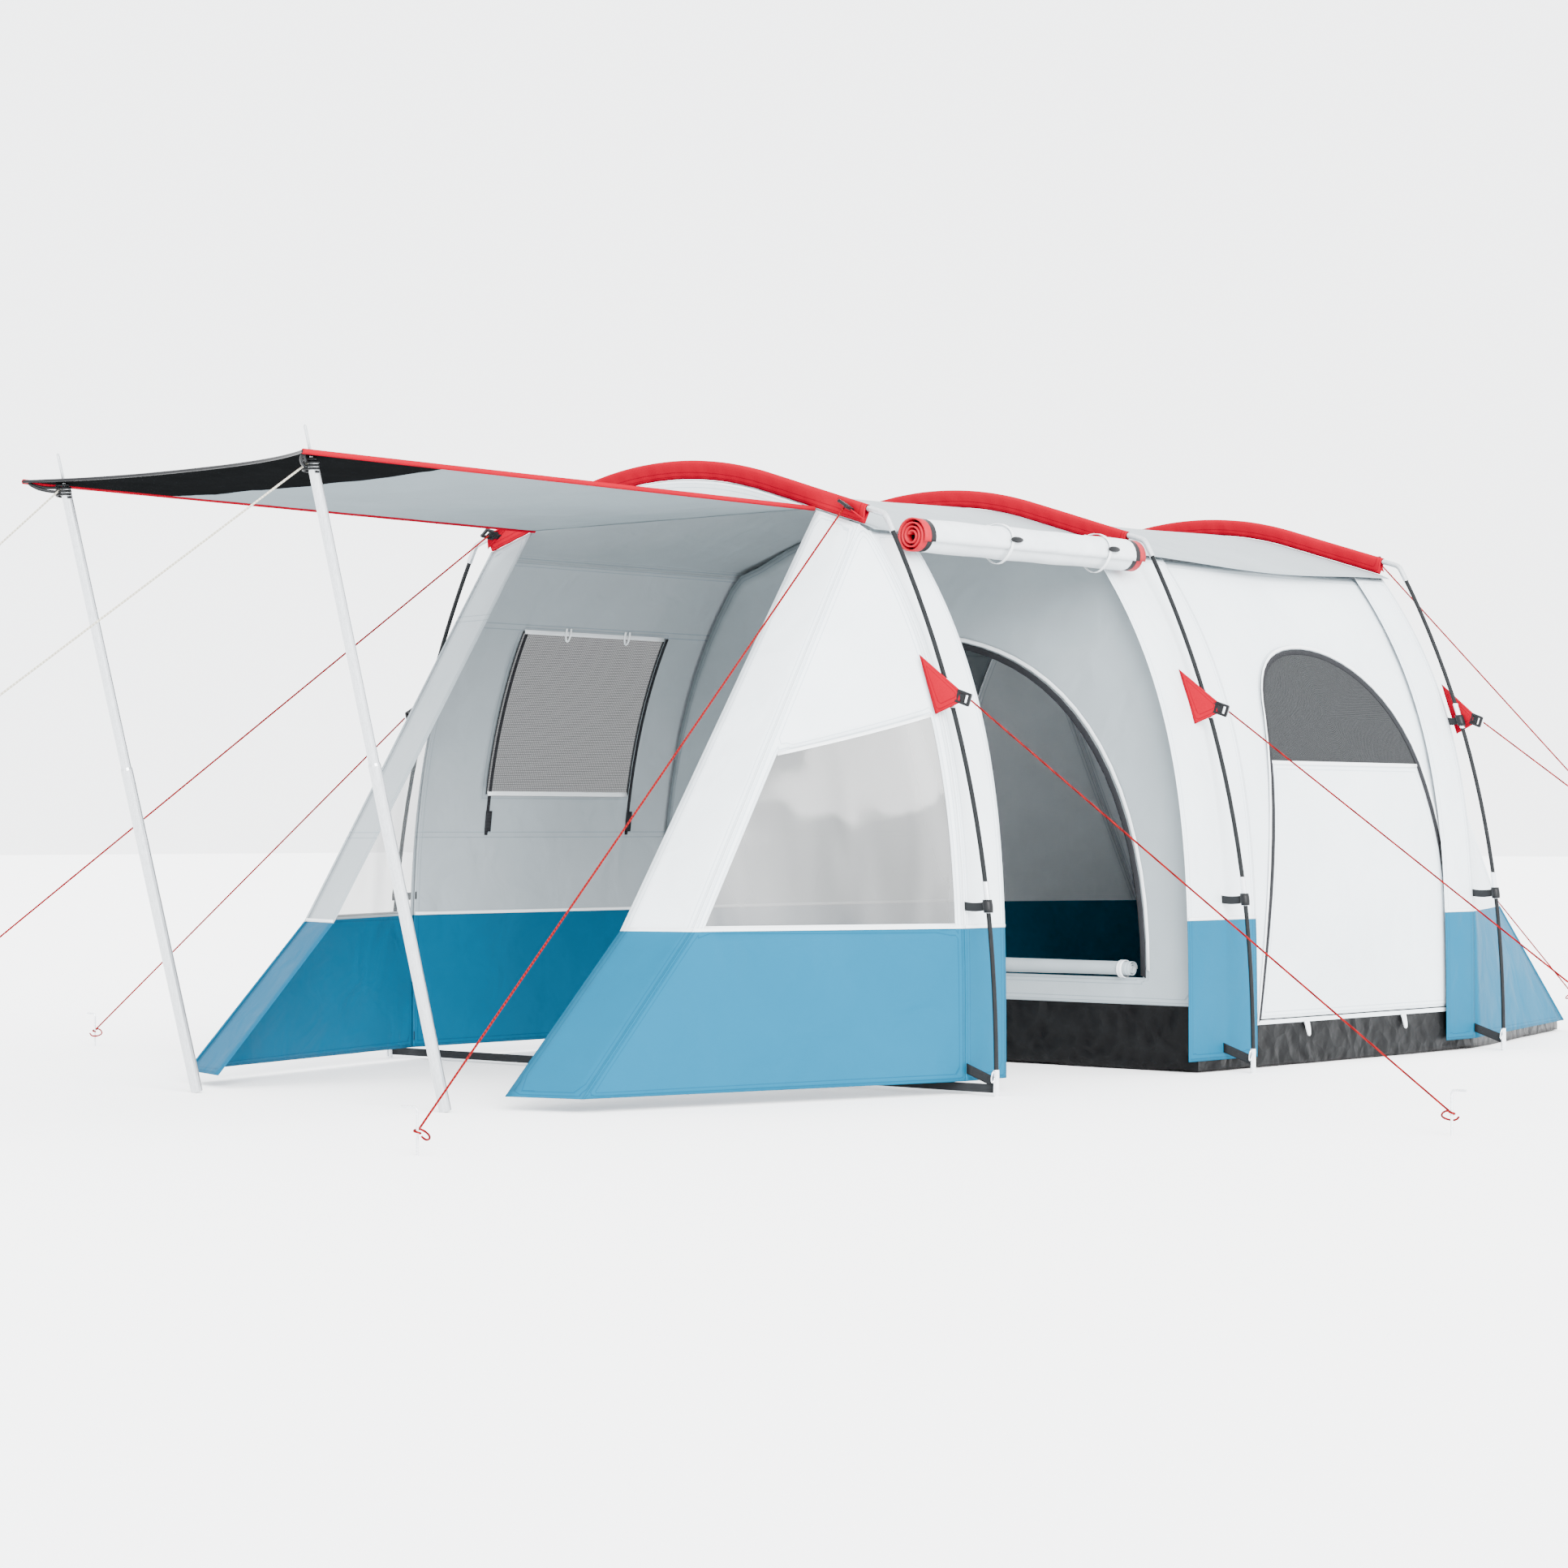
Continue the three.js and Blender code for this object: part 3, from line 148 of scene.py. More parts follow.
SIDE_TIP = (0.9808, 0.9176)
POLE_X = 0.429
GUYS = [("front_right", (0.618, -0.0418, 1.388), (1.139, -1.881)),
    ("front_left", (-0.618, -0.0418, 1.388), (-1.184, -1.633)),
    ("side_front_right", (SIDE_TIP[0], -0.0088, SIDE_TIP[1]), (2.373, -0.192)),
    ("side_front_left", (-SIDE_TIP[0], -0.0088, SIDE_TIP[1]), (-2.041, -0.234)),
    ("side_middle_right", (SIDE_TIP[0], 1.0362, SIDE_TIP[1]), (2.373, 0.853)),
    ("side_rear_right", (SIDE_TIP[0], 2.2838, SIDE_TIP[1]), (2.373, 2.081)),
    ("rear_right", (0.618, 2.317, 1.388), (1.269, 3.596)),
    ("rear_middle", (0.0, 2.3096, 1.506), (0.0, 4.526)),
    ("awning_right", (POLE_X, -1.5504, 1.391), (0.102, -3.384)),
    ("awning_left", (-POLE_X, -1.5504, 1.391), (-0.102, -3.384))]

for name, start, foot in GUYS:
    cord_stuff, slot = (pale_cord, "pale_cord") if name.startswith("awning") else (red_cord, "red_cord")
    top = Vector((start[0], start[1] + FRONT_Y, start[2]))
    peg = Vector((foot[0], foot[1] + FRONT_Y, TIE_Z))
    away = (top - peg).normalized()
    end = peg + away * 0.006
    line = rope(f"line_{name}", [between(top, end, k / 16) for k in range(17)], LINE_RADIUS, cord_stuff,
        smooth=False)
    # The loop dropped over the peg, drawn up by a knot, with its tail end lying out.
    side = Vector((-away.y, away.x, 0)).normalized()
    flat = Vector((away.x, away.y, 0)).normalized()
    loop = []
    for k in range(21):
        angle = radians(-160 + 320 * k / 20)
        loop.append(peg - flat * 0.0055 * cos(angle) + side * 0.0065 * sin(angle)
            + Vector((0, 0, -0.004 + 0.0004 * k)))
    tail = [loop[-1] + flat * 0.012, loop[-1] + flat * 0.03 - side * 0.008 + Vector((0, 0, -0.012)),
        loop[-1] + flat * 0.018 - side * 0.017 + Vector((0, 0, -0.02)),
        loop[-1] - flat * 0.004 - side * 0.02 + Vector((0, 0, -0.021)),
        loop[-1] - flat * 0.012 - side * 0.016 + Vector((0, 0, -0.012))]
    tie = rope(f"tie_{name}", loop + tail, LINE_RADIUS * 0.95, cord_stuff)
    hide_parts(f"guy_{name}")

# ---- pegs
# Hooked pegs of 5 mm galvanised steel wire, pushed into the ground through each line's loop.
# They keep their made shape and get the finish alone.

# Galvanised wire: bright zinc with a faint spangle and a soft, slightly brushed shine.
galvanised, add, place = new_material("galvanised steel wire")
spangle = add("TexVoronoi", {"Vector": place, "Scale": 240.0})
grey = add("MapRange", {"Value": spangle, "To Min": 0.22, "To Max": 0.42})
two_tone(add, spangle, "#eceef0", "#c6cacd", grey, Metallic=0.85)


def refinish(name, material):
    held = nodes[name]
    if not held.material_slots:
        held.data.materials.append(material)
    for slot in held.material_slots:
        slot.material = material


for name, *_ in GUYS:
    refinish(f"peg_{name}", galvanised)

# ---- three arches
# Pultruded fibreglass rods, 11 mm, with pressed steel ferrules and foot tubes, and bent steel
# elbow tubes at the shoulders. Roof pole, elbows and legs push together on a shock cord.
FERRULES = [(0.424, 0.497), (0.903, 0.973)]
FOOT_TUBE_Z = 0.062

# Fibreglass rod: charcoal resin with long pale glass streaks; steel sleeves sit bright on it.
rod, add, place = new_material("pultruded fibreglass with steel ferrules")
height = add("SeparateXYZ", {"Vector": place}, "Z")
stretch = add("Mapping", {"Vector": place, "Scale": (600.0, 600.0, 30.0)})
streaks = add("TexNoise", {"Vector": stretch, "Scale": 1.0, "Detail": 3.0})
glass = add("Mix", {0: streaks, 6: linear("#0a0b0b"), 7: linear("#222426")}, 2, data_type="RGBA")
steel_share = add("Math", {0: height, 1: FOOT_TUBE_Z}, operation="LESS_THAN")
for low, high in FERRULES:
    on = add("Math", {0: height, 1: (low + high) / 2, 2: (high - low) / 2}, operation="COMPARE")
    steel_share = add("Math", {0: steel_share, 1: on}, operation="MAXIMUM")
tone = add("Mix", {0: steel_share, 6: glass, 7: linear("#dfe3e6")}, 2, data_type="RGBA")
shine = add("MapRange", {"Value": steel_share, "To Min": 0.42, "To Max": 0.24})
metal = add("Math", {0: steel_share, 1: 0.8}, operation="MULTIPLY")
surface(add, tone, shine, 0.05, relief=(streaks, 0.25, 0.0004), Metallic=metal)

# Zinc-plated tube: near white, drawn lengthwise, so its highlight is long and a little soft.
plated, add, place = new_material("zinc plated steel tube")
draw = add("Mapping", {"Vector": place, "Scale": (420.0, 420.0, 6.0)})
lines = add("TexNoise", {"Vector": draw, "Scale": 1.0, "Detail": 2.0})
shine = add("MapRange", {"Value": lines, "To Min": 0.24, "To Max": 0.42})
two_tone(add, lines, "#a4a8ab", "#cfd2d5", shine, Metallic=0.85)

for arch, _ in ARCHES:
    refinish(f"{arch}_roof_pole", rod)
    for side, _ in SIDES:
        refinish(f"{arch}_leg_{side}", rod)
        refinish(f"{arch}_elbow_{side}", plated)

# ---- roof
# One cut of white polyester from the front arch to the rear arch, hung 40 mm under the poles.
# Its right edge is a free hem that hangs past the eave over the bedroom's side.
ELBOW_X = 0.711
ELBOW_Z = 1.370
PITCH = radians(17)
ARC_HALF = 0.340
EAVE_X = 0.656
EAVE_Z = 1.334
HEM_Z = 0.031
SKIRT_Z = 0.387
ROOF_DROP = 0.0395
CLOTH = 0.0012
ARC_RADIUS = ARC_HALF / sin(PITCH)
APEX_Z = ELBOW_Z + (ELBOW_X - ARC_HALF) * tan(PITCH) + ARC_RADIUS * (1 - cos(PITCH))


def pole_z(x):
    if abs(x) < ARC_HALF:
        return APEX_Z - ARC_RADIUS + sqrt(ARC_RADIUS ** 2 - x * x)
    return ELBOW_Z + (ELBOW_X - abs(x)) * tan(PITCH)


def roof_point(x):
    lean = min(abs(x) / ARC_RADIUS, sin(PITCH))
    return (x - copysign(lean * ROOF_DROP, x), pole_z(x) - sqrt(1 - lean * lean) * ROOF_DROP)


def stops(start, stop, step):
    count = max(1, ceil(abs(stop - start) / step - 1e-6))
    return [start + (stop - start) * k / count for k in range(count)] + [stop]


def to_mesh(name, bm, smooth=True):
    for face in bm.faces:
        face.smooth = smooth
    data = bpy.data.meshes.new(name)
    bm.to_mesh(data)
    bm.free()
    return data


# Lays a cut of cloth: a grid of threads over place(u, v), held straight along its hems and a
# little slack between them. Each point keeps how far it is from the nearest hem, for the stitching.
def lay_cloth(name, across, along, place, material, slot="pale_cloth", body="tent", replaces=None,
        slack=0.0022, hole=None, hem_of=None, weld=False, held="stretched", thick=CLOTH, pull=0.07,
        sheet=True, flat=None):
    last_i, last_j = len(across) - 1, len(along) - 1
    laid = [[Vector(place(u, v)) for v in along] for u in across]
    run = [[0.0] * (last_j + 1) for _ in across]
    rise = [[0.0] * (last_j + 1) for _ in across]
    for i in range(last_i + 1):
        for j in range(last_j + 1):
            if i:
                run[i][j] = run[i - 1][j] + (laid[i][j] - laid[i - 1][j]).length
            if j:
                rise[i][j] = rise[i][j - 1] + (laid[i][j] - laid[i][j - 1]).length
    bm = bmesh.new()
    bmesh.ops.create_grid(bm, x_segments=last_i, y_segments=last_j, size=1)
    cut = bm.loops.layers.uv.new("cloth")
    hem = bm.verts.layers.float.new("hem")
    spots = {}
    for vert in bm.verts:
        i, j = round((vert.co.x + 1) / 2 * last_i), round((vert.co.y + 1) / 2 * last_j)
        near = [run[i][j], run[last_i][j] - run[i][j], rise[i][j], rise[i][last_j] - rise[i][j]]
        if hole:
            a, b, c, d = hole
            past_u = run[a][j] - run[i][j] if i < a else run[i][j] - run[b][j] if i > b else 0
            past_v = rise[i][c] - rise[i][j] if j < c else rise[i][j] - rise[i][d] if j > d else 0
            near.append(max(past_u, past_v))
        edge = hem_of(across[i], along[j]) if hem_of else min(near)
        spots[vert] = (i, j)
        way_u = laid[min(i + 1, last_i)][j] - laid[max(i - 1, 0)][j]
        way_v = laid[i][min(j + 1, last_j)] - laid[i][max(j - 1, 0)]
        out = way_u.cross(way_v)
        out = out.normalized() if out.length > 1e-9 else Vector((0, 0, 1))
        at = laid[i][j]
        ripple = noise.noise(at * 3.3) + 0.55 * noise.noise(at * 8.7 + Vector((7, 3, 1)))
        ripple += 0.3 * noise.noise(at * 19.0)
        vert.co = at + out * ripple * slack * min(max(edge, 0) / pull, 1)
        vert[hem] = max(edge, 0.0)
    if hole:
        a, b, c, d = hole
        inside = {v for v, (i, j) in spots.items() if a <= i <= b and c <= j <= d}
        gone = [f for f in bm.faces if inside.issuperset(f.verts)]
        bmesh.ops.delete(bm, geom=gone, context="FACES")
    for face in bm.faces:
        for loop in face.loops:
            i, j = spots[loop.vert]
            loop[cut].uv = (run[i][j], rise[i][j])
    if weld:
        bmesh.ops.remove_doubles(bm, verts=bm.verts, dist=1e-5)
        bmesh.ops.dissolve_degenerate(bm, edges=bm.edges, dist=1e-6)
    area = sum(face.calc_area() for face in bm.faces)
    made = shown(name, to_mesh(name, bm), material, body)
    if replaces:
        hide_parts(replaces)
    if thick:
        wall = made.modifiers.new("cloth", "SOLIDIFY")
        wall.thickness = thick
        wall.offset = 0
    if sheet:
        wide, long = flat or (max(max(row) for row in run), max(max(row) for row in rise))
        grow = max(1.0, sqrt(area / (wide * long)))
        wide, long = wide * grow, long * grow
    return made


# Coated polyester taffeta: a satin white with a faint cool cast, soft creases from the pack, a dull
# shine where it is drawn tight, and two rows of grey stitching inside every hem. Threads are 0.4 mm;
# the weave is drawn at 3 mm so that it shows. Below the skirt seam the same cloth is dyed blue.
def taffeta(name, shade, low_shade, crease=1.0, seams=(), gloss=0.22):
    material, add, place = new_material(name)
    thread_at = add("TexCoord", {}, "UV")
    height = add("SeparateXYZ", {"Vector": place}, "Z")
    edge = add("Attribute", {}, "Fac", attribute_name="hem")
    broad = add("TexNoise", {"Vector": place, "Scale": 2.6, "Detail": 3.0, "Distortion": 0.7})
    fine = add("TexNoise", {"Vector": place, "Scale": 7.5, "Detail": 2.5, "Roughness": 0.45,
        "Distortion": 0.5})
    weft = add("TexWave", {"Vector": thread_at, "Scale": 104.0}, "Fac", bands_direction="X")
    warp = add("TexWave", {"Vector": thread_at, "Scale": 104.0}, "Fac", bands_direction="Y")
    weave = add("Math", {0: weft, 1: warp}, operation="ADD")
    rows = 0.0
    stitched = [(edge, 0.007, 0.0011), (edge, 0.017, 0.0011)] + [(height, z, 0.0012) for z in seams]
    for spot, at, half in stitched:
        row = add("Math", {0: spot, 1: at, 2: half}, operation="COMPARE")
        rows = add("Math", {0: rows, 1: row}, operation="MAXIMUM")
    tone = add("MapRange", {"Value": broad, "From Min": 0.25, "From Max": 0.75, "To Min": 0.93,
        "To Max": 1.04})
    below = add("Math", {0: height, 1: SKIRT_Z}, operation="LESS_THAN")
    dyed = add("Mix", {0: below, 6: linear(shade), 7: linear(low_shade)}, 2, data_type="RGBA")
    thread = add("Mix", {0: rows, 6: dyed, 7: (0.72, 0.75, 0.78, 1)}, 2, data_type="RGBA",
        blend_type="MULTIPLY")
    varied = add("VectorMath", {0: thread, "Scale": tone}, operation="SCALE")
    lumps = add("Bump", {"Height": fine, "Strength": 0.5 * crease, "Distance": 0.012})
    sewn = add("Bump", {"Height": rows, "Strength": 0.5, "Distance": 0.001, "Normal": lumps}, invert=True)
    woven = add("Bump", {"Height": weave, "Strength": 0.1, "Distance": 0.0003, "Normal": sewn})
    shine = add("MapRange", {"Value": fine, "To Min": 0.42, "To Max": 0.62})
    gleam = add("MapRange", {"Value": below, "To Min": gloss, "To Max": 0.15 * gloss})
    surface(add, varied, shine, gleam, Normal=woven)
    return material


WHITE = "#c9d0d4"
SHADED = "#868f93"
BLUE = "#044e69"
DEEP_BLUE = "#064661"
white_taffeta = taffeta("silver coated white taffeta", WHITE, BLUE, crease=1.7)
# The roof is the same white taffeta, given a grey colour: painted shade over the whole roof.
roof_taffeta = taffeta("silver coated grey white taffeta", "#848d91", BLUE)

ROOF_SAG = 0.008
FREE_HEM = 0.045


# The roof hangs between the arches: 0 at an arch, 1 midway.
def sag_of(y):
    for low, high in ((FRONT_Y, MIDDLE_Y), (MIDDLE_Y, REAR_Y)):
        if low <= y <= high:
            return sin(pi * (y - low) / (high - low)) ** 2
    return 0.0


def roof_place(y, x):
    if x > ELBOW_X - 0.045:                        # the hem that hangs past the eave
        past = x - (ELBOW_X - 0.045)
        edge_x, edge_z = roof_point(ELBOW_X - 0.045)
        past *= 0.55 + 0.45 * sag_of(y)
        return (edge_x + past * 0.93, y, edge_z - past * 0.42 - 0.010 * sag_of(y))
    if x < -0.67:                                  # joined to the left wall along the eave
        return (-EAVE_X - 0.0006, y, EAVE_Z - 0.001)
    at_x, at_z = roof_point(x)
    sag = ROOF_SAG * sag_of(y) * cos(pi * x / (2 * ELBOW_X))
    droop = 0.010 * sag_of(y) * max(0, (x - 0.5) / 0.166)
    return (at_x, y, at_z - sag - droop)


roof_across = ([-0.680, -0.668, -0.655] + stops(-0.64, 0.64, 0.04) + [0.655, 0.666]
    + [0.666 + FREE_HEM * k / 4 for k in range(1, 5)])
roof_stops = stops(FRONT_Y, MIDDLE_Y, 0.04) + stops(MIDDLE_Y, REAR_Y, 0.04)[1:]
lay_cloth("roof", roof_stops, roof_across, roof_place, roof_taffeta, slack=0.0014, replaces="fly_roof")

# ---- pole sleeves
# A tunnel of red polyester sewn along each arch, folded over the pole and drawn down to the roof seam.
# Double rows of stitching close it; the cloth is gathered a little where it turns down at the ends.
SLEEVE_END_X = 0.657
SLEEVE_R = 0.0088
SLEEVE_SEAM = 0.0375

# Red taffeta: saturated dye, the same satin shine as the fly, darker in the folds and rows of stitching.
red_taffeta = taffeta("dyed red taffeta", "#860019", "#860019", crease=1.3, gloss=0.0)


def arch_point(x):
    return Vector((x, 0, pole_z(x)))


def sleeve_place(arch_y):
    def place(x, turn):
        slope = (arch_point(x + 0.002) - arch_point(x - 0.002)).normalized()
        up = Vector((-slope.z, 0, slope.x))
        if abs(turn) <= 90:                       # over the pole
            angle = radians(turn)
            off = Vector((0, SLEEVE_R * sin(angle), 0)) + up * SLEEVE_R * cos(angle)
        else:                                     # the two layers meeting in the seam
            share = (abs(turn) - 90) / 90
            pinch = SLEEVE_R * (1 - share) ** 0.8 + 0.0009
            off = Vector((0, copysign(pinch, turn), 0)) - up * SLEEVE_SEAM * share
        pucker = 0.0011 * sin(x * 120 + turn * 0.02) * max(0, (abs(turn) - 60) / 120)
        base = arch_point(x) + off + Vector((0, pucker, 0))
        return (base.x, base.y + arch_y, base.z)
    return place


sleeve_turns = [-180, -166, -150, -132, -112, -90, -68, -45, -22, 0, 22, 45, 68, 90, 112, 132, 150, 166,
    180]
for arch, arch_y in ARCHES:
    lay_cloth(f"{arch}_pole_sleeve", stops(-SLEEVE_END_X, SLEEVE_END_X, 0.012), sleeve_turns,
        sleeve_place(arch_y), red_taffeta, slot="red_cloth", slack=0.0007, pull=0.02, thick=0.0009,
        replaces=f"{arch}_sleeve")

# ---- side bands
# Upright bands of the fly at each arch on the right side: white above, blue skirt below, bound at the edges.
# A white piping covers the seam between the two.
BAND = 0.152
WALL_FOOT_X = 0.956


# How far out the cloth of a side wall stands at a height: steep above, spread towards the hem.
def wall_x(z):
    rise = max((z - HEM_Z) / (EAVE_Z - HEM_Z), 0)
    return WALL_FOOT_X - (WALL_FOOT_X - EAVE_X) * rise ** 3.4


wall_heights = [HEM_Z, HEM_Z + 0.012] + stops(0.07, SKIRT_Z, 0.035)
wall_heights += stops(SKIRT_Z, 1.30, 0.035)[1:] + [1.322, EAVE_Z - 0.001]


def side_place(sign, inset=0.0):
    return lambda y, z: (sign * (wall_x(z) - inset), y, z)


def with_hems(low, high, step=0.035):
    return [low, low + 0.012] + stops(low + 0.03, high - 0.03, step) + [high - 0.012, high]


BANDS = [("front", FRONT_Y, FRONT_Y + BAND), ("middle", MIDDLE_Y - BAND, MIDDLE_Y + BAND),
    ("rear", REAR_Y - BAND, REAR_Y)]

# Piping: a narrow fold of white taffeta over a cord, rounder and brighter than the cloth beside it.
piping_cloth = taffeta("white taffeta piping", "#ced2d4", "#ced2d4", crease=0.3)


# Sews a tape along a path: points are its middle line, width is measured across the given way.
def tape(name, points, across, width, material, slot="pale_cloth", thick=0.0016, bulge=0.0, **more):
    line = [Vector(p) for p in points]
    ways = across if isinstance(across, list) else [Vector(across)] * len(line)
    def place(k, share):
        way = ways[k].normalized()
        ahead = (line[min(k + 1, len(line) - 1)] - line[max(k - 1, 0)]).normalized()
        out = ahead.cross(way)
        return line[k] + way * share * width / 2 + out * bulge * (1 - share * share)
    return lay_cloth(name, list(range(len(line))), [-1, -0.6, 0, 0.6, 1], place, material, slot,
        thick=thick, pull=0.004, **{"slack": 0.0, "sheet": False, **more})


# A flat run of piping or binding, standing on edge.
def pipe(name, points, width=0.008, **more):
    tape(name, points, (0, 0, 1), width, piping_cloth, **more)


PIPING_Z = 0.391
for arch, low, high in BANDS:
    lay_cloth(f"{arch}_side_band", with_hems(low, high, 0.03), wall_heights, side_place(1), white_taffeta,
        slack=0.0022, pull=0.05, replaces=f"{arch}_band_right")
    pipe(f"{arch}_band_piping", [(wall_x(PIPING_Z) + 0.0016, y, PIPING_Z)
        for y in stops(low + 0.002, high - 0.002, 0.03)], bulge=0.0012)

# ---- left walls
# The left side is closed: one cut of taffeta from front to middle arch, with a window, and one behind it.
# The living-room wall has lapped seams at the height of the eave lights and below the window.
WINDOW_Y = (FRONT_Y + 0.240, FRONT_Y + 0.784)
WINDOW_Z = (0.720, 1.150)
# The left walls take the white taffeta and its blue skirt in darker colours: painted shade on the side of
# the tent away from the light.
wall_taffeta = taffeta("silver coated taffeta with lapped seams", "#889094", DEEP_BLUE, crease=1.7,
    seams=(1.158, 1.172, 0.596, 0.610))


def stops_through(marks, step):
    made = [marks[0]]
    for low, high in zip(marks, marks[1:]):
        made += stops(low, high, step)[1:]
    return made


wall_across = stops_through([FRONT_Y, FRONT_Y + 0.012, *WINDOW_Y, MIDDLE_Y - 0.012, MIDDLE_Y - 0.0002],
    0.035)
wall_along = stops_through([HEM_Z, HEM_Z + 0.012, SKIRT_Z, *WINDOW_Z, 1.322, EAVE_Z], 0.035)
window_cells = [wall_across.index(WINDOW_Y[0]), wall_across.index(WINDOW_Y[1]),
    wall_along.index(WINDOW_Z[0]), wall_along.index(WINDOW_Z[1])]
lay_cloth("living_room_left_wall", wall_across, wall_along, side_place(-1), wall_taffeta,
    slot="shade_cloth", hole=window_cells, slack=0.0028, replaces="living_left_wall")
lay_cloth("bedroom_left_wall_cloth", with_hems(MIDDLE_Y + 0.0002, REAR_Y, 0.04), wall_heights,
    side_place(-1), wall_taffeta, slack=0.0028, replaces="bedroom_left_wall")
pipe("left_wall_piping", [(-wall_x(PIPING_Z) + 0.0018, y, PIPING_Z)
    for y in stops(FRONT_Y + 0.002, REAR_Y - 0.002, 0.05)], bulge=0.0012)

# ---- living-room window
# Fine polyester insect netting in the left wall, with a black coil zip down each side for its blind,
# cloth zip pulls, a white binding and two toggle loops along its upper edge.

# Insect netting: dark grey yarn with light between. Real holes are 1.2 mm; they are drawn at 5 mm.
netting, add, place = new_material("polyester insect netting", "UV")
one = add("TexWave", {"Vector": place, "Scale": 63.0}, "Fac", bands_direction="X")
two = add("TexWave", {"Vector": place, "Scale": 63.0}, "Fac", bands_direction="Y")
yarn = add("Math", {0: one, 1: two}, operation="MAXIMUM")
cover = add("MapRange", {"Value": yarn, "From Min": 0.35, "From Max": 0.8, "To Min": 0.84, "To Max": 0.97})
two_tone(add, yarn, "#1a1b1c", "#2f3031", 0.8, 0.02, Alpha=cover)

# Nylon coil zip on woven tape: matt black with a bead of fine teeth down its middle, 3 mm pitch.
zip_tape, add, place = new_material("black nylon coil zip", "UV")
teeth = add("TexWave", {"Vector": place, "Scale": 105.0}, "Fac", bands_direction="X")
two_tone(add, teeth, "#0e0e10", "#303134", 0.55, 0.05, relief=(teeth, 0.6, 0.0012))

lay_cloth("living_window_netting", stops(WINDOW_Y[0] - 0.006, WINDOW_Y[1] + 0.006, 0.03),
    stops(WINDOW_Z[0] - 0.006, WINDOW_Z[1] + 0.006, 0.03), side_place(-1, 0.0015), netting, slot="netting",
    slack=0.002, thick=0, replaces="living_window_net")
for k, y in enumerate((FRONT_Y + 0.249, FRONT_Y + 0.797)):
    heights = stops(0.602, 1.155, 0.03)
    tape(f"window_zip_{k}", [(-wall_x(z) + 0.0028, y, z) for z in heights], (0, 1, 0), 0.010, zip_tape,
        slot="webbing", bulge=0.0010)
    tape(f"window_zip_pull_{k}", [(-wall_x(z) + 0.006, y + 0.002, z) for z in stops(0.612, 0.668, 0.014)],
        (0, 1, 0), 0.020, zip_tape, slot="webbing", thick=0.003)
for name, z in (("head", WINDOW_Z[1] + 0.004), ("sill", WINDOW_Z[0] - 0.004)):
    pipe(f"window_binding_{name}",
        [(-wall_x(z) + 0.0026, y, z) for y in stops(WINDOW_Y[0], WINDOW_Y[1], 0.03)], 0.012, bulge=0.0008)
for k, y in enumerate((FRONT_Y + 0.40, FRONT_Y + 0.63)):
    hang = [(-wall_x(1.168) + 0.003, y - 0.008, 1.168), (-wall_x(1.15) + 0.008, y - 0.011, 1.145),
        (-wall_x(1.13) + 0.012, y, 1.122), (-wall_x(1.15) + 0.008, y + 0.011, 1.145),
        (-wall_x(1.168) + 0.003, y + 0.008, 1.168)]
    rope(f"blind_toggle_loop_{k}", hang, 0.003, piping_cloth)

# ---- porch wings
# Raked side walls of the porch: a side panel from the front arch to a slanting seam, then a narrow
# strip turned in to the doorway. Both are taffeta on a blue skirt; the panel holds a clear window.
SEAM_GAP = 0.0011
UNDER_ROOF = 0.0031
SEAM_TOP_X = 0.636
STRIP_X = 0.495
PANE_SILL_Z = 0.395
roof_line = [roof_point(x) for x in stops(0.0, 0.705, 0.015)]


def roof_z(x):
    out = min(abs(x), 0.69)
    for (x0, z0), (x1, z1) in zip(roof_line, roof_line[1:]):
        if x0 <= out <= x1:
            return between(z0, z1, (out - x0) / (x1 - x0))
    return roof_line[-1][1]


def seam_x(z):
    return 0.679 - 0.043 * (z - HEM_Z) / (EAVE_Z - HEM_Z)


# How far a raked wall stands out from its arch at a height.
def reach(z):
    if z >= SKIRT_Z:
        return 0.008 + 0.612 * (EAVE_Z - z) / (EAVE_Z - SKIRT_Z)
    return 0.620 + 0.360 * (SKIRT_Z - z) / (SKIRT_Z - HEM_Z)


# Lets the rows of threads above the skirt seam end on the roof instead of at the eave.
def row_z(z, top):
    return z if z <= SKIRT_Z else SKIRT_Z + (top - SKIRT_Z) * (z - SKIRT_Z) / (EAVE_Z - SKIRT_Z)


# A point on a raked side panel, at a height and a distance out from the arch.
def side_point(z, off):
    share = (off - SEAM_GAP) / max(reach(z) - SEAM_GAP, 1e-6)
    return (between(wall_x(z), seam_x(z), share), off,
        between(z, row_z(z, roof_z(SEAM_TOP_X) - UNDER_ROOF), share))


def in_three(t, *marks):
    k = 0 if t <= 1 else 1 if t <= 2 else 2
    return between(marks[k], marks[k + 1], t - k)


# c runs 0 at the arch, 1 to 2 across the window, 3 at the seam.
# w runs 0 at the hem, 1 to 2 up the window, 3 at the eave.
def panel_spot(c, w):
    head = between(0.885, 0.787, min(max(c - 1, 0), 1))
    z = in_three(w, HEM_Z, PANE_SILL_Z, head, EAVE_Z)
    far = reach(z)
    margin = min(0.022, 0.3 * far)
    return z, in_three(c, SEAM_GAP, margin, far - margin, far)


def strip_point(z, share):
    lead = 0.064 * (EAVE_Z - max(z, SKIRT_Z)) / (EAVE_Z - SKIRT_Z)
    x0, y0, z0 = side_point(z, reach(z))
    x1, y1, z1 = STRIP_X, max(reach(z) + lead - 0.005, 0.003), row_z(z, roof_z(STRIP_X) - UNDER_ROOF)
    return (between(x0, x1, share), between(y0, y1, share), between(z0, z1, share))
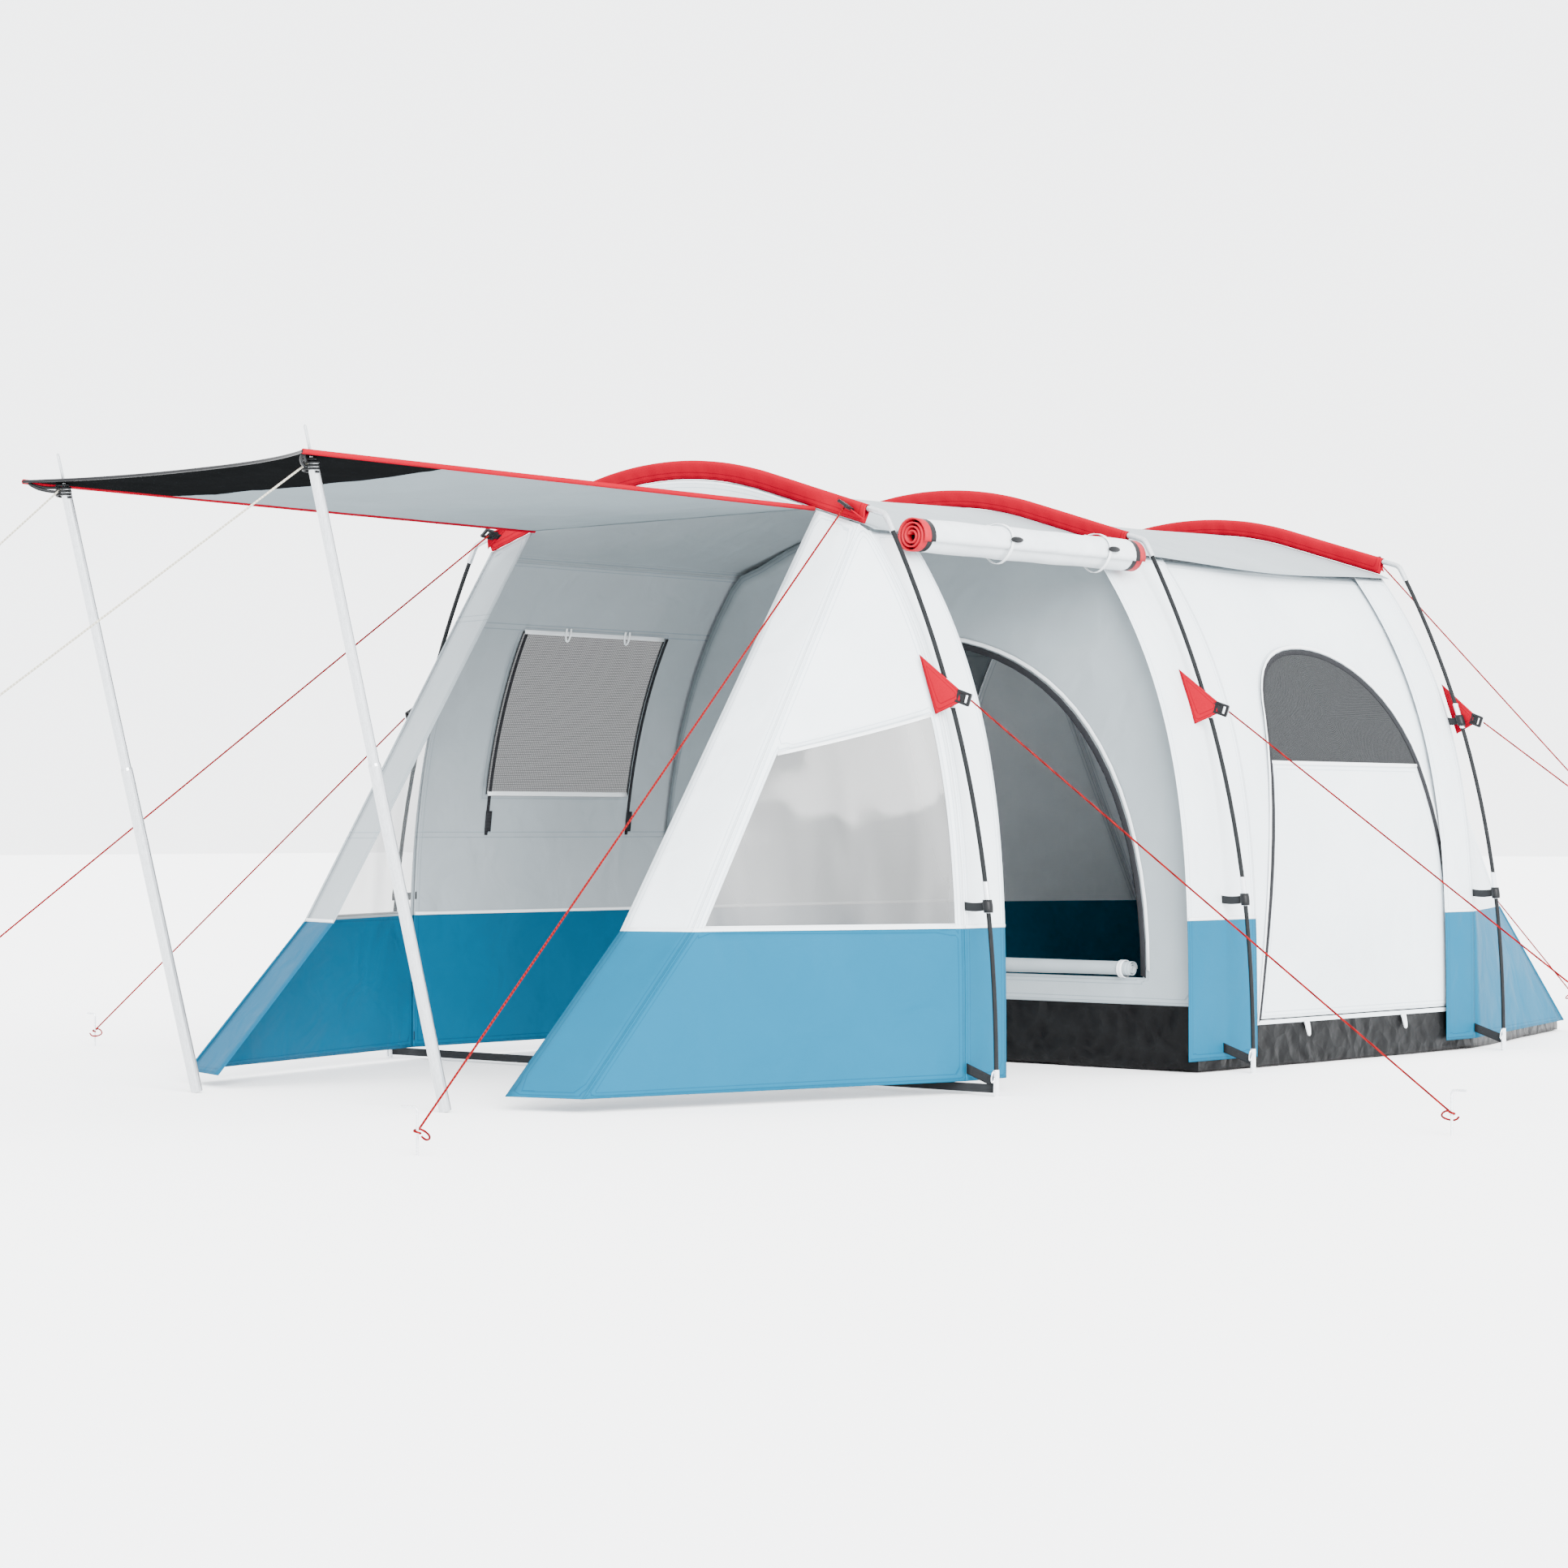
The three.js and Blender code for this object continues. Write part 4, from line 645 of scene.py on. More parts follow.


# Clear PVC film: glassy and faintly milky, with broad soft lighter streaks in its colour and opacity that
# are painted reflections.
film, add, place = new_material("clear pvc film")
drawn = add("Mapping", {"Vector": place, "Scale": (1.6, 5.0, 1.4), "Rotation": (0.35, 0, 0)})
streak = add("TexNoise", {"Vector": drawn, "Scale": 1.0, "Detail": 2.0, "Distortion": 0.5})
haze = add("MapRange", {"Value": streak, "From Min": 0.35, "From Max": 0.68, "To Min": 0.46, "To Max": 0.7})
two_tone(add, streak, "#4a4b4b", "#8c8d8d", 0.07, relief=(streak, 0.15, 0.01), IOR=1.53, Alpha=haze)

panel_across = [0, 0.5] + stops_through([1, 2], 0.08) + [2.4, 2.7, 3]
panel_along = stops_through([0, 0.04, 1], 0.09)
panel_along += stops_through([1, 2], 0.07)[1:] + stops_through([2, 3], 0.07)[1:]
panel_window = [panel_across.index(1), panel_across.index(2), panel_along.index(1), panel_along.index(2)]
strip_heights = stops_through([HEM_Z, HEM_Z + 0.012, SKIRT_Z, 1.322, EAVE_Z], 0.035)
for side, sign in SIDES:
    def panel_place(c, w, sign=sign, lift=0.0):
        z, off = panel_spot(c, w)
        x, y, z = side_point(z, off)
        return (sign * (x - lift), FRONT_Y - y, z)

    def strip_place(share, z, sign=sign):
        x, y, z = strip_point(z, share)
        return (sign * x, FRONT_Y - y, z)

    # On the left the wing takes the darker wall cloth: painted shade on its inner face.
    stuff, slot = (white_taffeta, "pale_cloth") if sign > 0 else (wall_taffeta, "shade_cloth")
    lay_cloth(f"porch_wing_{side}", panel_across, panel_along, panel_place, stuff, slot=slot,
        hole=panel_window, slack=0.0045, replaces=f"wing_{side}")
    lay_cloth(f"porch_wing_strip_{side}", stops(0, 1, 0.17), strip_heights, strip_place, stuff, slot=slot,
        slack=0.0022, pull=0.03, replaces=f"wing_{side}")

    def pane_place(c, w, place=panel_place):
        return place(1.5 + (c - 1.5) * 1.01, 1.5 + (w - 1.5) * 1.01, lift=0.0012)

    lay_cloth(f"porch_window_{side}", [c for c in panel_across if 1 <= c <= 2],
        [w for w in panel_along if 1 <= w <= 2], pane_place, film, slot="clear_film", slack=0.0035, thick=0,
        replaces=f"wing_window_{side}")
    corner = [panel_place(c, 1.0) for c in stops(1, 2, 0.1)]
    head = [panel_place(c, 2.0) for c in stops(1, 2, 0.1)]
    for name, way in (("sill", corner), ("head", head)):
        pipe(f"porch_window_{name}_{side}", [(p[0] + sign * 0.0016, p[1], p[2]) for p in way], bulge=0.0008)
    low = [panel_place(c, 0.985) for c in panel_across]
    low += [strip_place(s, PIPING_Z) for s in (0.25, 0.5, 0.75, 0.98)]
    pipe(f"porch_wing_piping_{side}", [(p[0] + sign * 0.0015, p[1] - 0.0008, PIPING_Z) for p in low],
        bulge=0.001)
    ridge = [strip_place(0.0, z) for z in strip_heights]
    tape(f"porch_wing_seam_{side}", [(p[0] + sign * 0.0012, p[1] - 0.0012, p[2]) for p in ridge],
        (0.25 * sign, -0.9, 0.2), 0.007, stuff, bulge=0.0016)

# ---- rear wall
# Raked like the wings: a side panel from each rear leg to a slanting seam, and one middle panel
# between the two seams. White taffeta on a blue skirt, with piping over the seam between them.
rear_heights = stops_through([HEM_Z, HEM_Z + 0.012, SKIRT_Z, 1.322, EAVE_Z], 0.04)
for side, sign in SIDES:
    def rear_place(share, z, sign=sign):
        x, y, z = side_point(z, between(SEAM_GAP, reach(z), share))
        return (sign * x, REAR_Y + y, z)

    lay_cloth(f"rear_side_panel_{side}", stops(0, 1, 0.07), rear_heights, rear_place, white_taffeta,
        slack=0.003, replaces="rear_wall")
    ridge = [side_point(z, reach(z)) for z in rear_heights]
    tape(f"rear_seam_{side}", [(sign * (p[0] + 0.001), REAR_Y + p[1] + 0.0014, p[2]) for p in ridge],
        (0.3 * sign, 0.9, 0.2), 0.007, white_taffeta, bulge=0.0016)


def rear_middle_place(share, z):
    return (seam_x(z) * share, REAR_Y + reach(z), row_z(z, roof_z(SEAM_TOP_X * abs(share)) - UNDER_ROOF))


lay_cloth("rear_middle_panel", stops(-1, 1, 0.06), rear_heights, rear_middle_place, white_taffeta,
    slack=0.0035, replaces="rear_wall")
pipe("rear_piping", [(seam_x(PIPING_Z) * s, REAR_Y + reach(PIPING_Z) + 0.0016, PIPING_Z)
    for s in stops(-1, 1, 0.1)], bulge=0.001)

# ---- bedroom groundsheet
# A sewn-in tub of black laminated polyethylene: floor, sides turned up 110 mm and a sill of 167 mm
# in front. It comes out of the bag crumpled and stays so; webbing loops for pegs hang on its side.
CROSS_Y = FRONT_Y + 0.949
TUB_Z = 0.110
SILL_Z = 0.167

# Laminated polyethylene: black and half glossy, creased all over, so it breaks up the light in facets.
crumpled, add, place = new_material("crumpled black polyethylene")
warp = add("TexNoise", {"Vector": place, "Scale": 7.0, "Detail": 3.0}, "Color")
bent = add("VectorMath", {0: warp, 1: (0.12, 0.12, 0.12), 2: place}, operation="MULTIPLY_ADD")
facets = add("TexVoronoi", {"Vector": bent, "Scale": 22.0}, feature="DISTANCE_TO_EDGE")
creases = add("TexVoronoi", {"Vector": bent, "Scale": 22.0})
relief = add("Bump", {"Height": creases, "Strength": 0.6, "Distance": 0.012})
sharp = add("Bump", {"Height": facets, "Strength": 0.5, "Distance": 0.006, "Normal": relief})
two_tone(add, creases, "#050506", "#101112", 0.36, 0.07, Normal=sharp)


def tub_corners(z):
    half = between(0.945, wall_x(TUB_Z) - 0.013, min(z / TUB_Z, 1))
    tail = REAR_Y + reach(max(z, HEM_Z)) - 0.012
    narrow = seam_x(HEM_Z) - 0.012
    return [(half, CROSS_Y), (half, REAR_Y), (narrow, tail), (-narrow, tail), (-half, REAR_Y),
        (-half, CROSS_Y)]


def tub_spot(t, z):
    pts = tub_corners(z)
    k = int(t) % 6
    (x0, y0), (x1, y1) = pts[k], pts[(k + 1) % 6]
    return (between(x0, x1, t - int(t)), between(y0, y1, t - int(t)))


def tub_place(t, level):
    top = SILL_Z if 5 <= t % 6 or t % 6 == 0 else TUB_Z
    if level <= 1:
        x, y = tub_spot(t, 0)
        return (x * level, between(0.95, y, level), 0.0035)
    z = 0.0035 + (top - 0.0035) * (level - 1)
    x, y = tub_spot(t, min(z, TUB_Z))
    return (x, y, z)


tub_turns = [0]
for corner, step in enumerate((0.03, 0.04, 0.03, 0.04, 0.03, 0.025)):
    tub_turns += stops(corner, corner + 1, step)[1:]
lay_cloth("bedroom_tub", tub_turns, [0.02] + stops(0.1, 1, 0.09) + stops(1, 2, 0.14)[1:], tub_place,
    crumpled, slot="floor_cloth", slack=0.005, weld=True,
    hem_of=lambda t, level: max(0, min(2 - level, 1)) * 0.1, held="laid", thick=0, pull=0.05,
    flat=(2.11, 2.60), replaces="groundsheet")
for k, y in enumerate((FRONT_Y + 1.438, FRONT_Y + 1.912)):
    side_x = wall_x(TUB_Z) - 0.008
    rope(f"tub_peg_loop_{k}", [(side_x, y - 0.006, 0.112), (side_x + 0.006, y - 0.006, 0.095),
        (side_x + 0.009, y, 0.062), (side_x + 0.006, y + 0.006, 0.09), (side_x, y + 0.006, 0.112)], 0.0042,
        piping_cloth)

# ---- bedroom front wall
# Breathable polyester hung across behind the middle arch, standing on the tub's sill, with an arched
# doorway edged by a coil zip and a white binding; its door is rolled down on to the sill.
# The wall inside the tent and its rolled door take white taffeta in a grey colour: painted shade.
shade_taffeta = taffeta("breathable grey white taffeta", SHADED, SHADED, crease=1.2)
DOOR_HALF = 0.773
DOOR_TOP = 1.123
DOOR_SILL = 0.237


def bezier(p0, p1, p2, p3, count):
    made = []
    for k in range(count):
        t = k / count
        made.append(tuple((1 - t) ** 3 * a + 3 * (1 - t) ** 2 * t * b + 3 * (1 - t) * t * t * c + t ** 3 * d
            for a, b, c, d in zip(p0, p1, p2, p3)))
    return made


# Distance from a point to a closed outline.
def to_outline(at, outline):
    near = 9.0
    for (x0, y0), (x1, y1) in zip(outline, outline[1:] + outline[:1]):
        dx, dy = x1 - x0, y1 - y0
        share = min(max(((at[0] - x0) * dx + (at[1] - y0) * dy) / max(dx * dx + dy * dy, 1e-12), 0), 1)
        near = min(near, hypot(at[0] - x0 - dx * share, at[1] - y0 - dy * share))
    return near


# Where a ray from the centre meets a closed outline.
def ray_to(outline, centre, angle):
    ux, uy = cos(angle), sin(angle)
    best = 0.0
    for (x0, y0), (x1, y1) in zip(outline, outline[1:] + outline[:1]):
        x0, y0, x1, y1 = x0 - centre[0], y0 - centre[1], x1 - centre[0], y1 - centre[1]
        dx, dy = x1 - x0, y1 - y0
        cross = ux * dy - uy * dx
        if abs(cross) < 1e-12:
            continue
        far, share = (x0 * dy - y0 * dx) / cross, (x0 * uy - y0 * ux) / cross
        if far > 0 and -1e-6 <= share <= 1 + 1e-6:
            best = max(best, far)
    return (centre[0] + ux * best, centre[1] + uy * best)


# A cloth cut between two closed outlines, or a whole patch where inner is None. lift(a, b) lifts it.
def ring_cloth(name, inner, outer, centre, rings, lift, material, **more):
    turns = set(2 * pi * k / 96 for k in range(96))
    for outline in filter(None, (inner, outer)):
        turns |= {atan2(b - centre[1], a - centre[0]) % (2 * pi) for a, b in outline}
    turns = sorted(turns)
    turns = [t for k, t in enumerate(turns) if k == 0 or t - turns[k - 1] > 1e-4]
    outs = [ray_to(outer, centre, t) for t in turns]
    ins = [ray_to(inner, centre, t) for t in turns] if inner else [centre] * len(turns)
    def flat(k, share):
        a, b = ins[k % len(turns)], outs[k % len(turns)]
        return (between(a[0], b[0], share), between(a[1], b[1], share))
    def hem_of(k, share):
        at = flat(k, share)
        near = to_outline(at, outer)
        return min(near, to_outline(at, inner)) if inner else near
    size = [max(p[k] for p in outer) - min(p[k] for p in outer) for k in (0, 1)]
    return lay_cloth(name, list(range(len(turns) + 1)), rings, lambda k, share: lift(*flat(k, share)),
        material, hem_of=hem_of, weld=True, flat=size, **more)


arch_right = bezier((DOOR_HALF, DOOR_SILL), (DOOR_HALF, 0.855), (0.425, DOOR_TOP), (0, DOOR_TOP), 20)
arch_left = bezier((0, DOOR_TOP), (-0.425, DOOR_TOP), (-DOOR_HALF, 0.855), (-DOOR_HALF, DOOR_SILL), 20)
doorway = arch_right + arch_left + [(-DOOR_HALF, DOOR_SILL)]
wall_edge = ([(wall_x(z) - 0.014, z) for z in [SILL_Z + 0.0005] + stops(0.2, 1.30, 0.08)]
    + [(x, roof_z(x) - 0.006 - 0.012 * (x > 0.5)) for x in (0.63, 0.56, 0.45, 0.34, 0.23, 0.115, 0.0)])
wall_edge += [(-x, z) for x, z in reversed(wall_edge[:-1])]
ring_cloth("bedroom_front_wall", doorway, wall_edge, (0.0, 0.6),
    [0, 0.05, 0.15, 0.3, 0.45, 0.6, 0.75, 0.9, 1], lambda x, z: (x, CROSS_Y + 0.001, z), shade_taffeta,
    slot="shade_cloth", slack=0.006, pull=0.09, replaces="cross_wall")
centre = (0.0, 0.55)
out_way = [Vector((x - centre[0], 0, z - centre[1])) for x, z in doorway]
tape("doorway_zip", [(x * 1.004, CROSS_Y - 0.0022, z + 0.003) for x, z in doorway], out_way, 0.017,
    zip_tape, slot="webbing", bulge=-0.0012)
tape("doorway_binding", [(x * 1.024, CROSS_Y - 0.0020, z + 0.019) for x, z in doorway], out_way, 0.010,
    piping_cloth, bulge=-0.0012)

# The door itself lies rolled on the sill, tied with two loops of tape.
ROLLED_R = 0.021
DOOR_TIE_R = 0.0225
rolled_z = DOOR_SILL + ROLLED_R + 0.0003


def rolled_place(x, turn):
    radius = 0.004 + 0.0165 * (1 - turn / 1000)
    return (x, CROSS_Y + radius * cos(radians(turn)), rolled_z + radius * sin(radians(turn)))


lay_cloth("doorway_door_rolled", stops(-0.742, 0.742, 0.03), stops(0, 900, 18), rolled_place, shade_taffeta,
    slack=0.003, pull=0.1, held="folded", thick=0.001, replaces="inner_door_roll")
for k, x in enumerate((-0.36, 0.712)):
    ring = [(x, CROSS_Y + DOOR_TIE_R * cos(a), rolled_z + DOOR_TIE_R * sin(a))
        for a in [radians(t) for t in range(0, 361, 24)]]
    tape(f"rolled_door_tie_{k}", ring, (1, 0, 0), 0.016, piping_cloth)

# ---- bedroom side panel and door
# White breathable cloth beside the bed between middle and rear arch. Its D-shaped door is zipped all round:
# netting in the head, plain cloth below. Unzipped, it folds inwards about its lower edge.
INSET = 0.014
DOOR_FRONT = MIDDLE_Y + 0.181
DOOR_REAR = REAR_Y - 0.111
DOOR_LOW_Z = 0.122
DOOR_HEAD_Z = 1.098
NET_Z = 0.794
DOOR_CORNER = (DOOR_FRONT + 0.148, DOOR_HEAD_Z - 0.19)
shoulder = (DOOR_REAR - 0.09, DOOR_HEAD_Z - 0.3)
crown = (DOOR_REAR - 0.52, DOOR_HEAD_Z)
door_edge = bezier((DOOR_REAR, DOOR_LOW_Z), (DOOR_REAR, DOOR_LOW_Z + 0.33),
    (DOOR_REAR - 0.02, DOOR_HEAD_Z - 0.52), shoulder, 10)
door_edge += bezier(shoulder, (DOOR_REAR - 0.17, DOOR_HEAD_Z - 0.09), (DOOR_REAR - 0.34, DOOR_HEAD_Z),
    crown, 12)
door_edge += bezier(crown, (DOOR_FRONT + 0.26, DOOR_HEAD_Z), (DOOR_FRONT + 0.165, DOOR_HEAD_Z - 0.06),
    DOOR_CORNER, 10)
door_edge += [(between(DOOR_CORNER[0], DOOR_FRONT, k / 10), between(DOOR_CORNER[1], DOOR_LOW_Z, k / 10))
    for k in range(11)]


# The same outline drawn in towards its middle.
def shrunk(outline, by):
    mid = (sum(a for a, _ in outline) / len(outline), sum(b for _, b in outline) / len(outline))
    made = []
    for a, b in outline:
        far = hypot(a - mid[0], b - mid[1])
        made.append((mid[0] + (a - mid[0]) * (1 - by / far), mid[1] + (b - mid[1]) * (1 - by / far)))
    return made


def inner_lift(y, z):
    return (wall_x(z) - INSET, y, z)


panel_low, panel_high = 0.1108, 1.329
panel_front, panel_rear = CROSS_Y + 0.0025, REAR_Y - 0.0006
panel_edge = [(panel_rear, panel_low), (panel_rear, panel_high), (panel_front, panel_high),
    (panel_front, panel_low)]
panel_edge = [(between(a[0], b[0], k / 12), between(a[1], b[1], k / 12))
    for a, b in zip(panel_edge, panel_edge[1:] + panel_edge[:1]) for k in range(12)]
inner_taffeta = taffeta("breathable white taffeta", "#c8cfd3", "#c8cfd3", crease=1.1)
ring_cloth("bedroom_side_cloth", door_edge, panel_edge, (DOOR_FRONT + 0.47, 0.6),
    [0, 0.06, 0.2, 0.4, 0.6, 0.8, 0.94, 1], inner_lift, inner_taffeta, slack=0.003,
    replaces="bedroom_side_panel")
inside = shrunk(door_edge, 0.004)


# The part of an outline above a level, or below it.
def clipped(outline, level, keep_above):
    made = []
    for (a0, b0), (a1, b1) in zip(outline, outline[1:] + outline[:1]):
        if (b0 > level) == keep_above:
            made.append((a0, b0))
        if (b0 - level) * (b1 - level) < 0:
            made.append((between(a0, a1, (level - b0) / (b1 - b0)), level))
    return made


door_low = clipped(inside, NET_Z, False)
door_high = clipped(inside, NET_Z - 0.012, True)
patch_rings = [0.0, 0.12, 0.25, 0.4, 0.55, 0.7, 0.82, 0.92, 0.98, 1]
ring_cloth("side_door_cloth", None, door_low, (DOOR_FRONT + 0.47, 0.45), patch_rings, inner_lift,
    inner_taffeta, body="side_door", slack=0.004, replaces="bedroom_side_door")
ring_cloth("side_door_netting", None, door_high, (DOOR_FRONT + 0.45, 0.92), patch_rings, inner_lift,
    netting, slot="netting", body="side_door", slack=0.002, thick=0, replaces="bedroom_side_door")
round_ways = [Vector((0, y - DOOR_FRONT - 0.47, z - 0.55)) for y, z in door_edge]
tape("side_door_zip", [(wall_x(z) - INSET + 0.0026, y, z) for y, z in door_edge], round_ways, 0.014,
    zip_tape, slot="webbing", bulge=-0.001)
tape("side_door_binding", [(wall_x(z) - INSET + 0.0030, y + 0.014 * w.normalized().y,
    z + 0.014 * w.normalized().z) for (y, z), w in zip(door_edge, round_ways)], round_ways, 0.009,
    piping_cloth, bulge=-0.001)
net_ends = [p[0] for p in door_low if abs(p[1] - NET_Z) < 1e-6]
net_row = [(wall_x(NET_Z) - INSET + 0.0014, y, NET_Z) for y in stops(min(net_ends), max(net_ends), 0.04)]
pipe("side_door_net_binding", net_row, 0.010, body="side_door", bulge=0.0008)

# ---- rolled side door of the living room
# The right-hand doorway's cloth, rolled up under the eave and held by two ties with toggles. Its ends show
# the red binding wound in a spiral, with the black zip as a ring just inside.
ROLL_R = 0.048
ROLL_TIE_R = ROLL_R + 0.0015
ROLL_X = 0.7262
ROLL_Z = 1.322
ROLL_Y = (FRONT_Y + 0.077, FRONT_Y + 0.968)

# The same white taffeta, with its red binding at both ends and the zip beside it.
rolled_taffeta, add, place = new_material("rolled taffeta with red binding")
along = add("SeparateXYZ", {"Vector": place}, "Y")
mid = add("Math", {0: along, 1: sum(ROLL_Y) / 2}, operation="SUBTRACT")
out = add("Math", {0: mid}, operation="ABSOLUTE")
half = (ROLL_Y[1] - ROLL_Y[0]) / 2
red_share = add("Math", {0: out, 1: half - 0.024}, operation="GREATER_THAN")
zip_share = add("Math", {0: out, 1: half - 0.033, 2: 0.0095}, operation="COMPARE")
creases = add("TexNoise", {"Vector": place, "Scale": 14.0, "Detail": 4.0, "Distortion": 0.9})
# The cloth is coloured darker where the crease relief dips: painted shade in the creases.
tone = add("Mix", {0: creases, 6: linear("#b6bcc0"), 7: linear("#ccd1d4")}, 2, data_type="RGBA")
bound = add("Mix", {0: red_share, 6: tone, 7: linear("#92001a")}, 2, data_type="RGBA")
zipped = add("Mix", {0: zip_share, 6: bound, 7: linear("#19191b")}, 2, data_type="RGBA")
surface(add, zipped, 0.55, 0.12, relief=(creases, 0.5, 0.008))


def roll_place(y, turn):
    radius = 0.009 + (ROLL_R - 0.0115) * (1 - turn / 1290) ** 0.95
    radius = min(radius, ROLL_R - 0.0012) * (1 + 0.02 * sin(y * 31 + turn * 0.004))
    angle = radians(turn - 20)
    return (ROLL_X + radius * 0.97 * cos(angle), y, ROLL_Z + radius * 0.97 * sin(angle))


lay_cloth("side_door_rolled_up", stops(ROLL_Y[0], ROLL_Y[1], 0.025), stops(0, 1260, 15), roll_place,
    rolled_taffeta, slack=0.0016, held="folded", thick=0.0036, pull=0.1, replaces="side_door_roll")

# Moulded acetal for toggles, hooks and buckles: black, faintly grained, with a soft sheen on the edges.
black_plastic, add, place = new_material("black moulded acetal")
grain = add("TexNoise", {"Vector": place, "Scale": 900.0, "Detail": 2.0})
two_tone(add, grain, "#0c0d0e", "#1a1b1d", 0.38, 0.12, relief=(grain, 0.3, 0.0003))

for k, y in enumerate((FRONT_Y + 0.411, FRONT_Y + 0.810)):
    around = [(ROLL_X + ROLL_TIE_R * cos(a), y + 0.006 * sin(2 * a), ROLL_Z + ROLL_TIE_R * sin(a))
        for a in [radians(t) for t in range(-150, 181, 15)]]
    tape(f"roll_tie_{k}", around + [(ROLL_X - 0.030, y, ROLL_Z + 0.048)], (0, 1, 0), 0.010, piping_cloth)
    bm = bmesh.new()
    bmesh.ops.create_uvsphere(bm, u_segments=20, v_segments=12, radius=1)
    bmesh.ops.scale(bm, vec=(0.0055, 0.024, 0.0075), verts=bm.verts)
    bmesh.ops.translate(bm, vec=(ROLL_X + ROLL_R + 0.004, y + 0.012, ROLL_Z + 0.008), verts=bm.verts)
    name = f"roll_toggle_{k}"
    shown(name, to_mesh(name, bm), black_plastic)

# ---- canopy
# A sheet of taffeta from the front arch to two poles: its two sides bound in red, its front cut in a hollow
# and made of darker cloth, a grommet at each pole. A white crescent closes the gap up to the roof.
CANOPY_HALF = 0.486
CANOPY_REAR_Y = 0.0021
CANOPY_FRONT_Z = 1.407
CANOPY_REAR_Z = 1.396
DARK_BAND_Y = 1.193
GROMMET_R = 0.0085
WINDING_R = 0.0165

# Taffeta in a grey colour, painted shade on the canopy's underside, with a sewn-on front of dark grey
# taffeta; the seam between them is lapped.
canopy_taffeta = taffeta("canopy taffeta grey white", "#737d81", "#737d81", gloss=0.0)
tree = canopy_taffeta.node_tree
add = partial(add_node, tree)
shader = next(n for n in tree.nodes if n.type == "BSDF_PRINCIPLED")
plain = shader.inputs["Base Color"].links[0].from_socket
place = add("TexCoord", {}, "Object")
depth = add("SeparateXYZ", {"Vector": place}, "Y")
is_front = add("Math", {0: depth, 1: FRONT_Y - DARK_BAND_Y}, operation="LESS_THAN")
slub = add("TexNoise", {"Vector": place, "Scale": 9.0, "Detail": 4.0})
dark_tone = add("Mix", {0: slub, 6: linear("#0a0b0b"), 7: linear("#121314")}, 2, data_type="RGBA")
cloth = add("Mix", {0: is_front, 6: plain, 7: dark_tone}, 2, data_type="RGBA")
tree.links.new(cloth, shader.inputs["Base Color"])


def canopy_front(x):
    return 1.612 - 0.090 * (1 - (abs(x) / CANOPY_HALF) ** 2.5)


def canopy_place(x, share):
    y = between(canopy_front(x), CANOPY_REAR_Y, share)
    sag = 0.014 * sin(pi * share) * cos(pi * x / (2 * CANOPY_HALF))
    return (x, FRONT_Y - y, between(CANOPY_FRONT_Z, CANOPY_REAR_Z, share) - sag)


lay_cloth("canopy_sheet", with_hems(-CANOPY_HALF, CANOPY_HALF, 0.035), [0, 0.008] + stops(0.02, 1, 0.02),
    canopy_place, canopy_taffeta, slot="shade_cloth", slack=0.005, pull=0.06, replaces="awning")


def crescent_place(x, share):
    top = max(roof_z(x) - 0.0016, CANOPY_REAR_Z + 0.003)
    return (x, FRONT_Y - 0.0021, between(CANOPY_REAR_Z, top, share))


lay_cloth("canopy_crescent", stops(-0.48, 0.48, 0.03), stops(0, 1, 0.1), crescent_place, white_taffeta,
    slack=0.0006, pull=0.03, replaces="awning")
for side, sign in SIDES:
    edge = [canopy_place(sign * CANOPY_HALF, s) for s in stops(0, 1, 0.02)]
    rope(f"canopy_binding_{side}", edge, 0.0058, red_taffeta)
    # Grommet of rolled steel, the cord wound round the pole head, and the black loop of webbing at the tip.
    gy = FRONT_Y - 1.542
    ring = [(sign * POLE_X + GROMMET_R * cos(a), gy + GROMMET_R * sin(a), 1.4085)
        for a in [2 * pi * k / 16 for k in range(17)]]
    rope(f"canopy_grommet_{side}", ring, 0.0018, galvanised)
    wind = [(sign * POLE_X + WINDING_R * cos(a), gy + WINDING_R * sin(a), 1.372 + 0.0035 * a / pi)
        for a in [pi * k / 8 for k in range(0, 65)]]
    rope(f"canopy_cord_winding_{side}", wind, 0.0026, black_plastic)
    loop = [(sign * POLE_X, gy - 0.012, 1.394), (sign * 0.45, gy - 0.03, 1.392),
        (sign * 0.470, gy - 0.052, 1.398), (sign * 0.478, gy - 0.062, 1.404),
        (sign * 0.466, gy - 0.060, 1.396), (sign * 0.446, gy - 0.04, 1.384),
        (sign * POLE_X, gy - 0.014, 1.384)]
    rope(f"canopy_tip_loop_{side}", loop, 0.0036, black_plastic)
    refinish(f"awning_pole_{side}", plated)
front_hem = [canopy_place(x, 0.0) for x in stops(-CANOPY_HALF, CANOPY_HALF, 0.03)]
rope("canopy_front_hem", front_hem, 0.0036, black_plastic)

# ---- webbing, hooks and feet
# Black polypropylene webbing, 20 mm, sewn to the bands and walls: a strap with a moulded hook holds each leg
# at knee height, a tab at the foot takes the ring pin, and one long strap joins the front feet.

# Polypropylene webbing: matt black with a herringbone of flat yarns, 2 mm wide, lighter on its ribs.
webbing, add, place = new_material("black polypropylene webbing", "UV")
ribs = add("TexWave", {"Vector": place, "Scale": 150.0}, "Fac", bands_direction="DIAGONAL")
two_tone(add, ribs, "#0f1011", "#2a2c2e", 0.75, 0.05, relief=(ribs, 0.6, 0.0008))

CLIP_R = 0.0088
CLIP_HIGH = 0.030
LEG_FOOT_X = 1.047
LEG_LEAN = 0.336


# How far out a leg stands at a height.
def leg_x(z):
    return LEG_FOOT_X - LEG_LEAN * max(z / ELBOW_Z, 0) ** 2.3


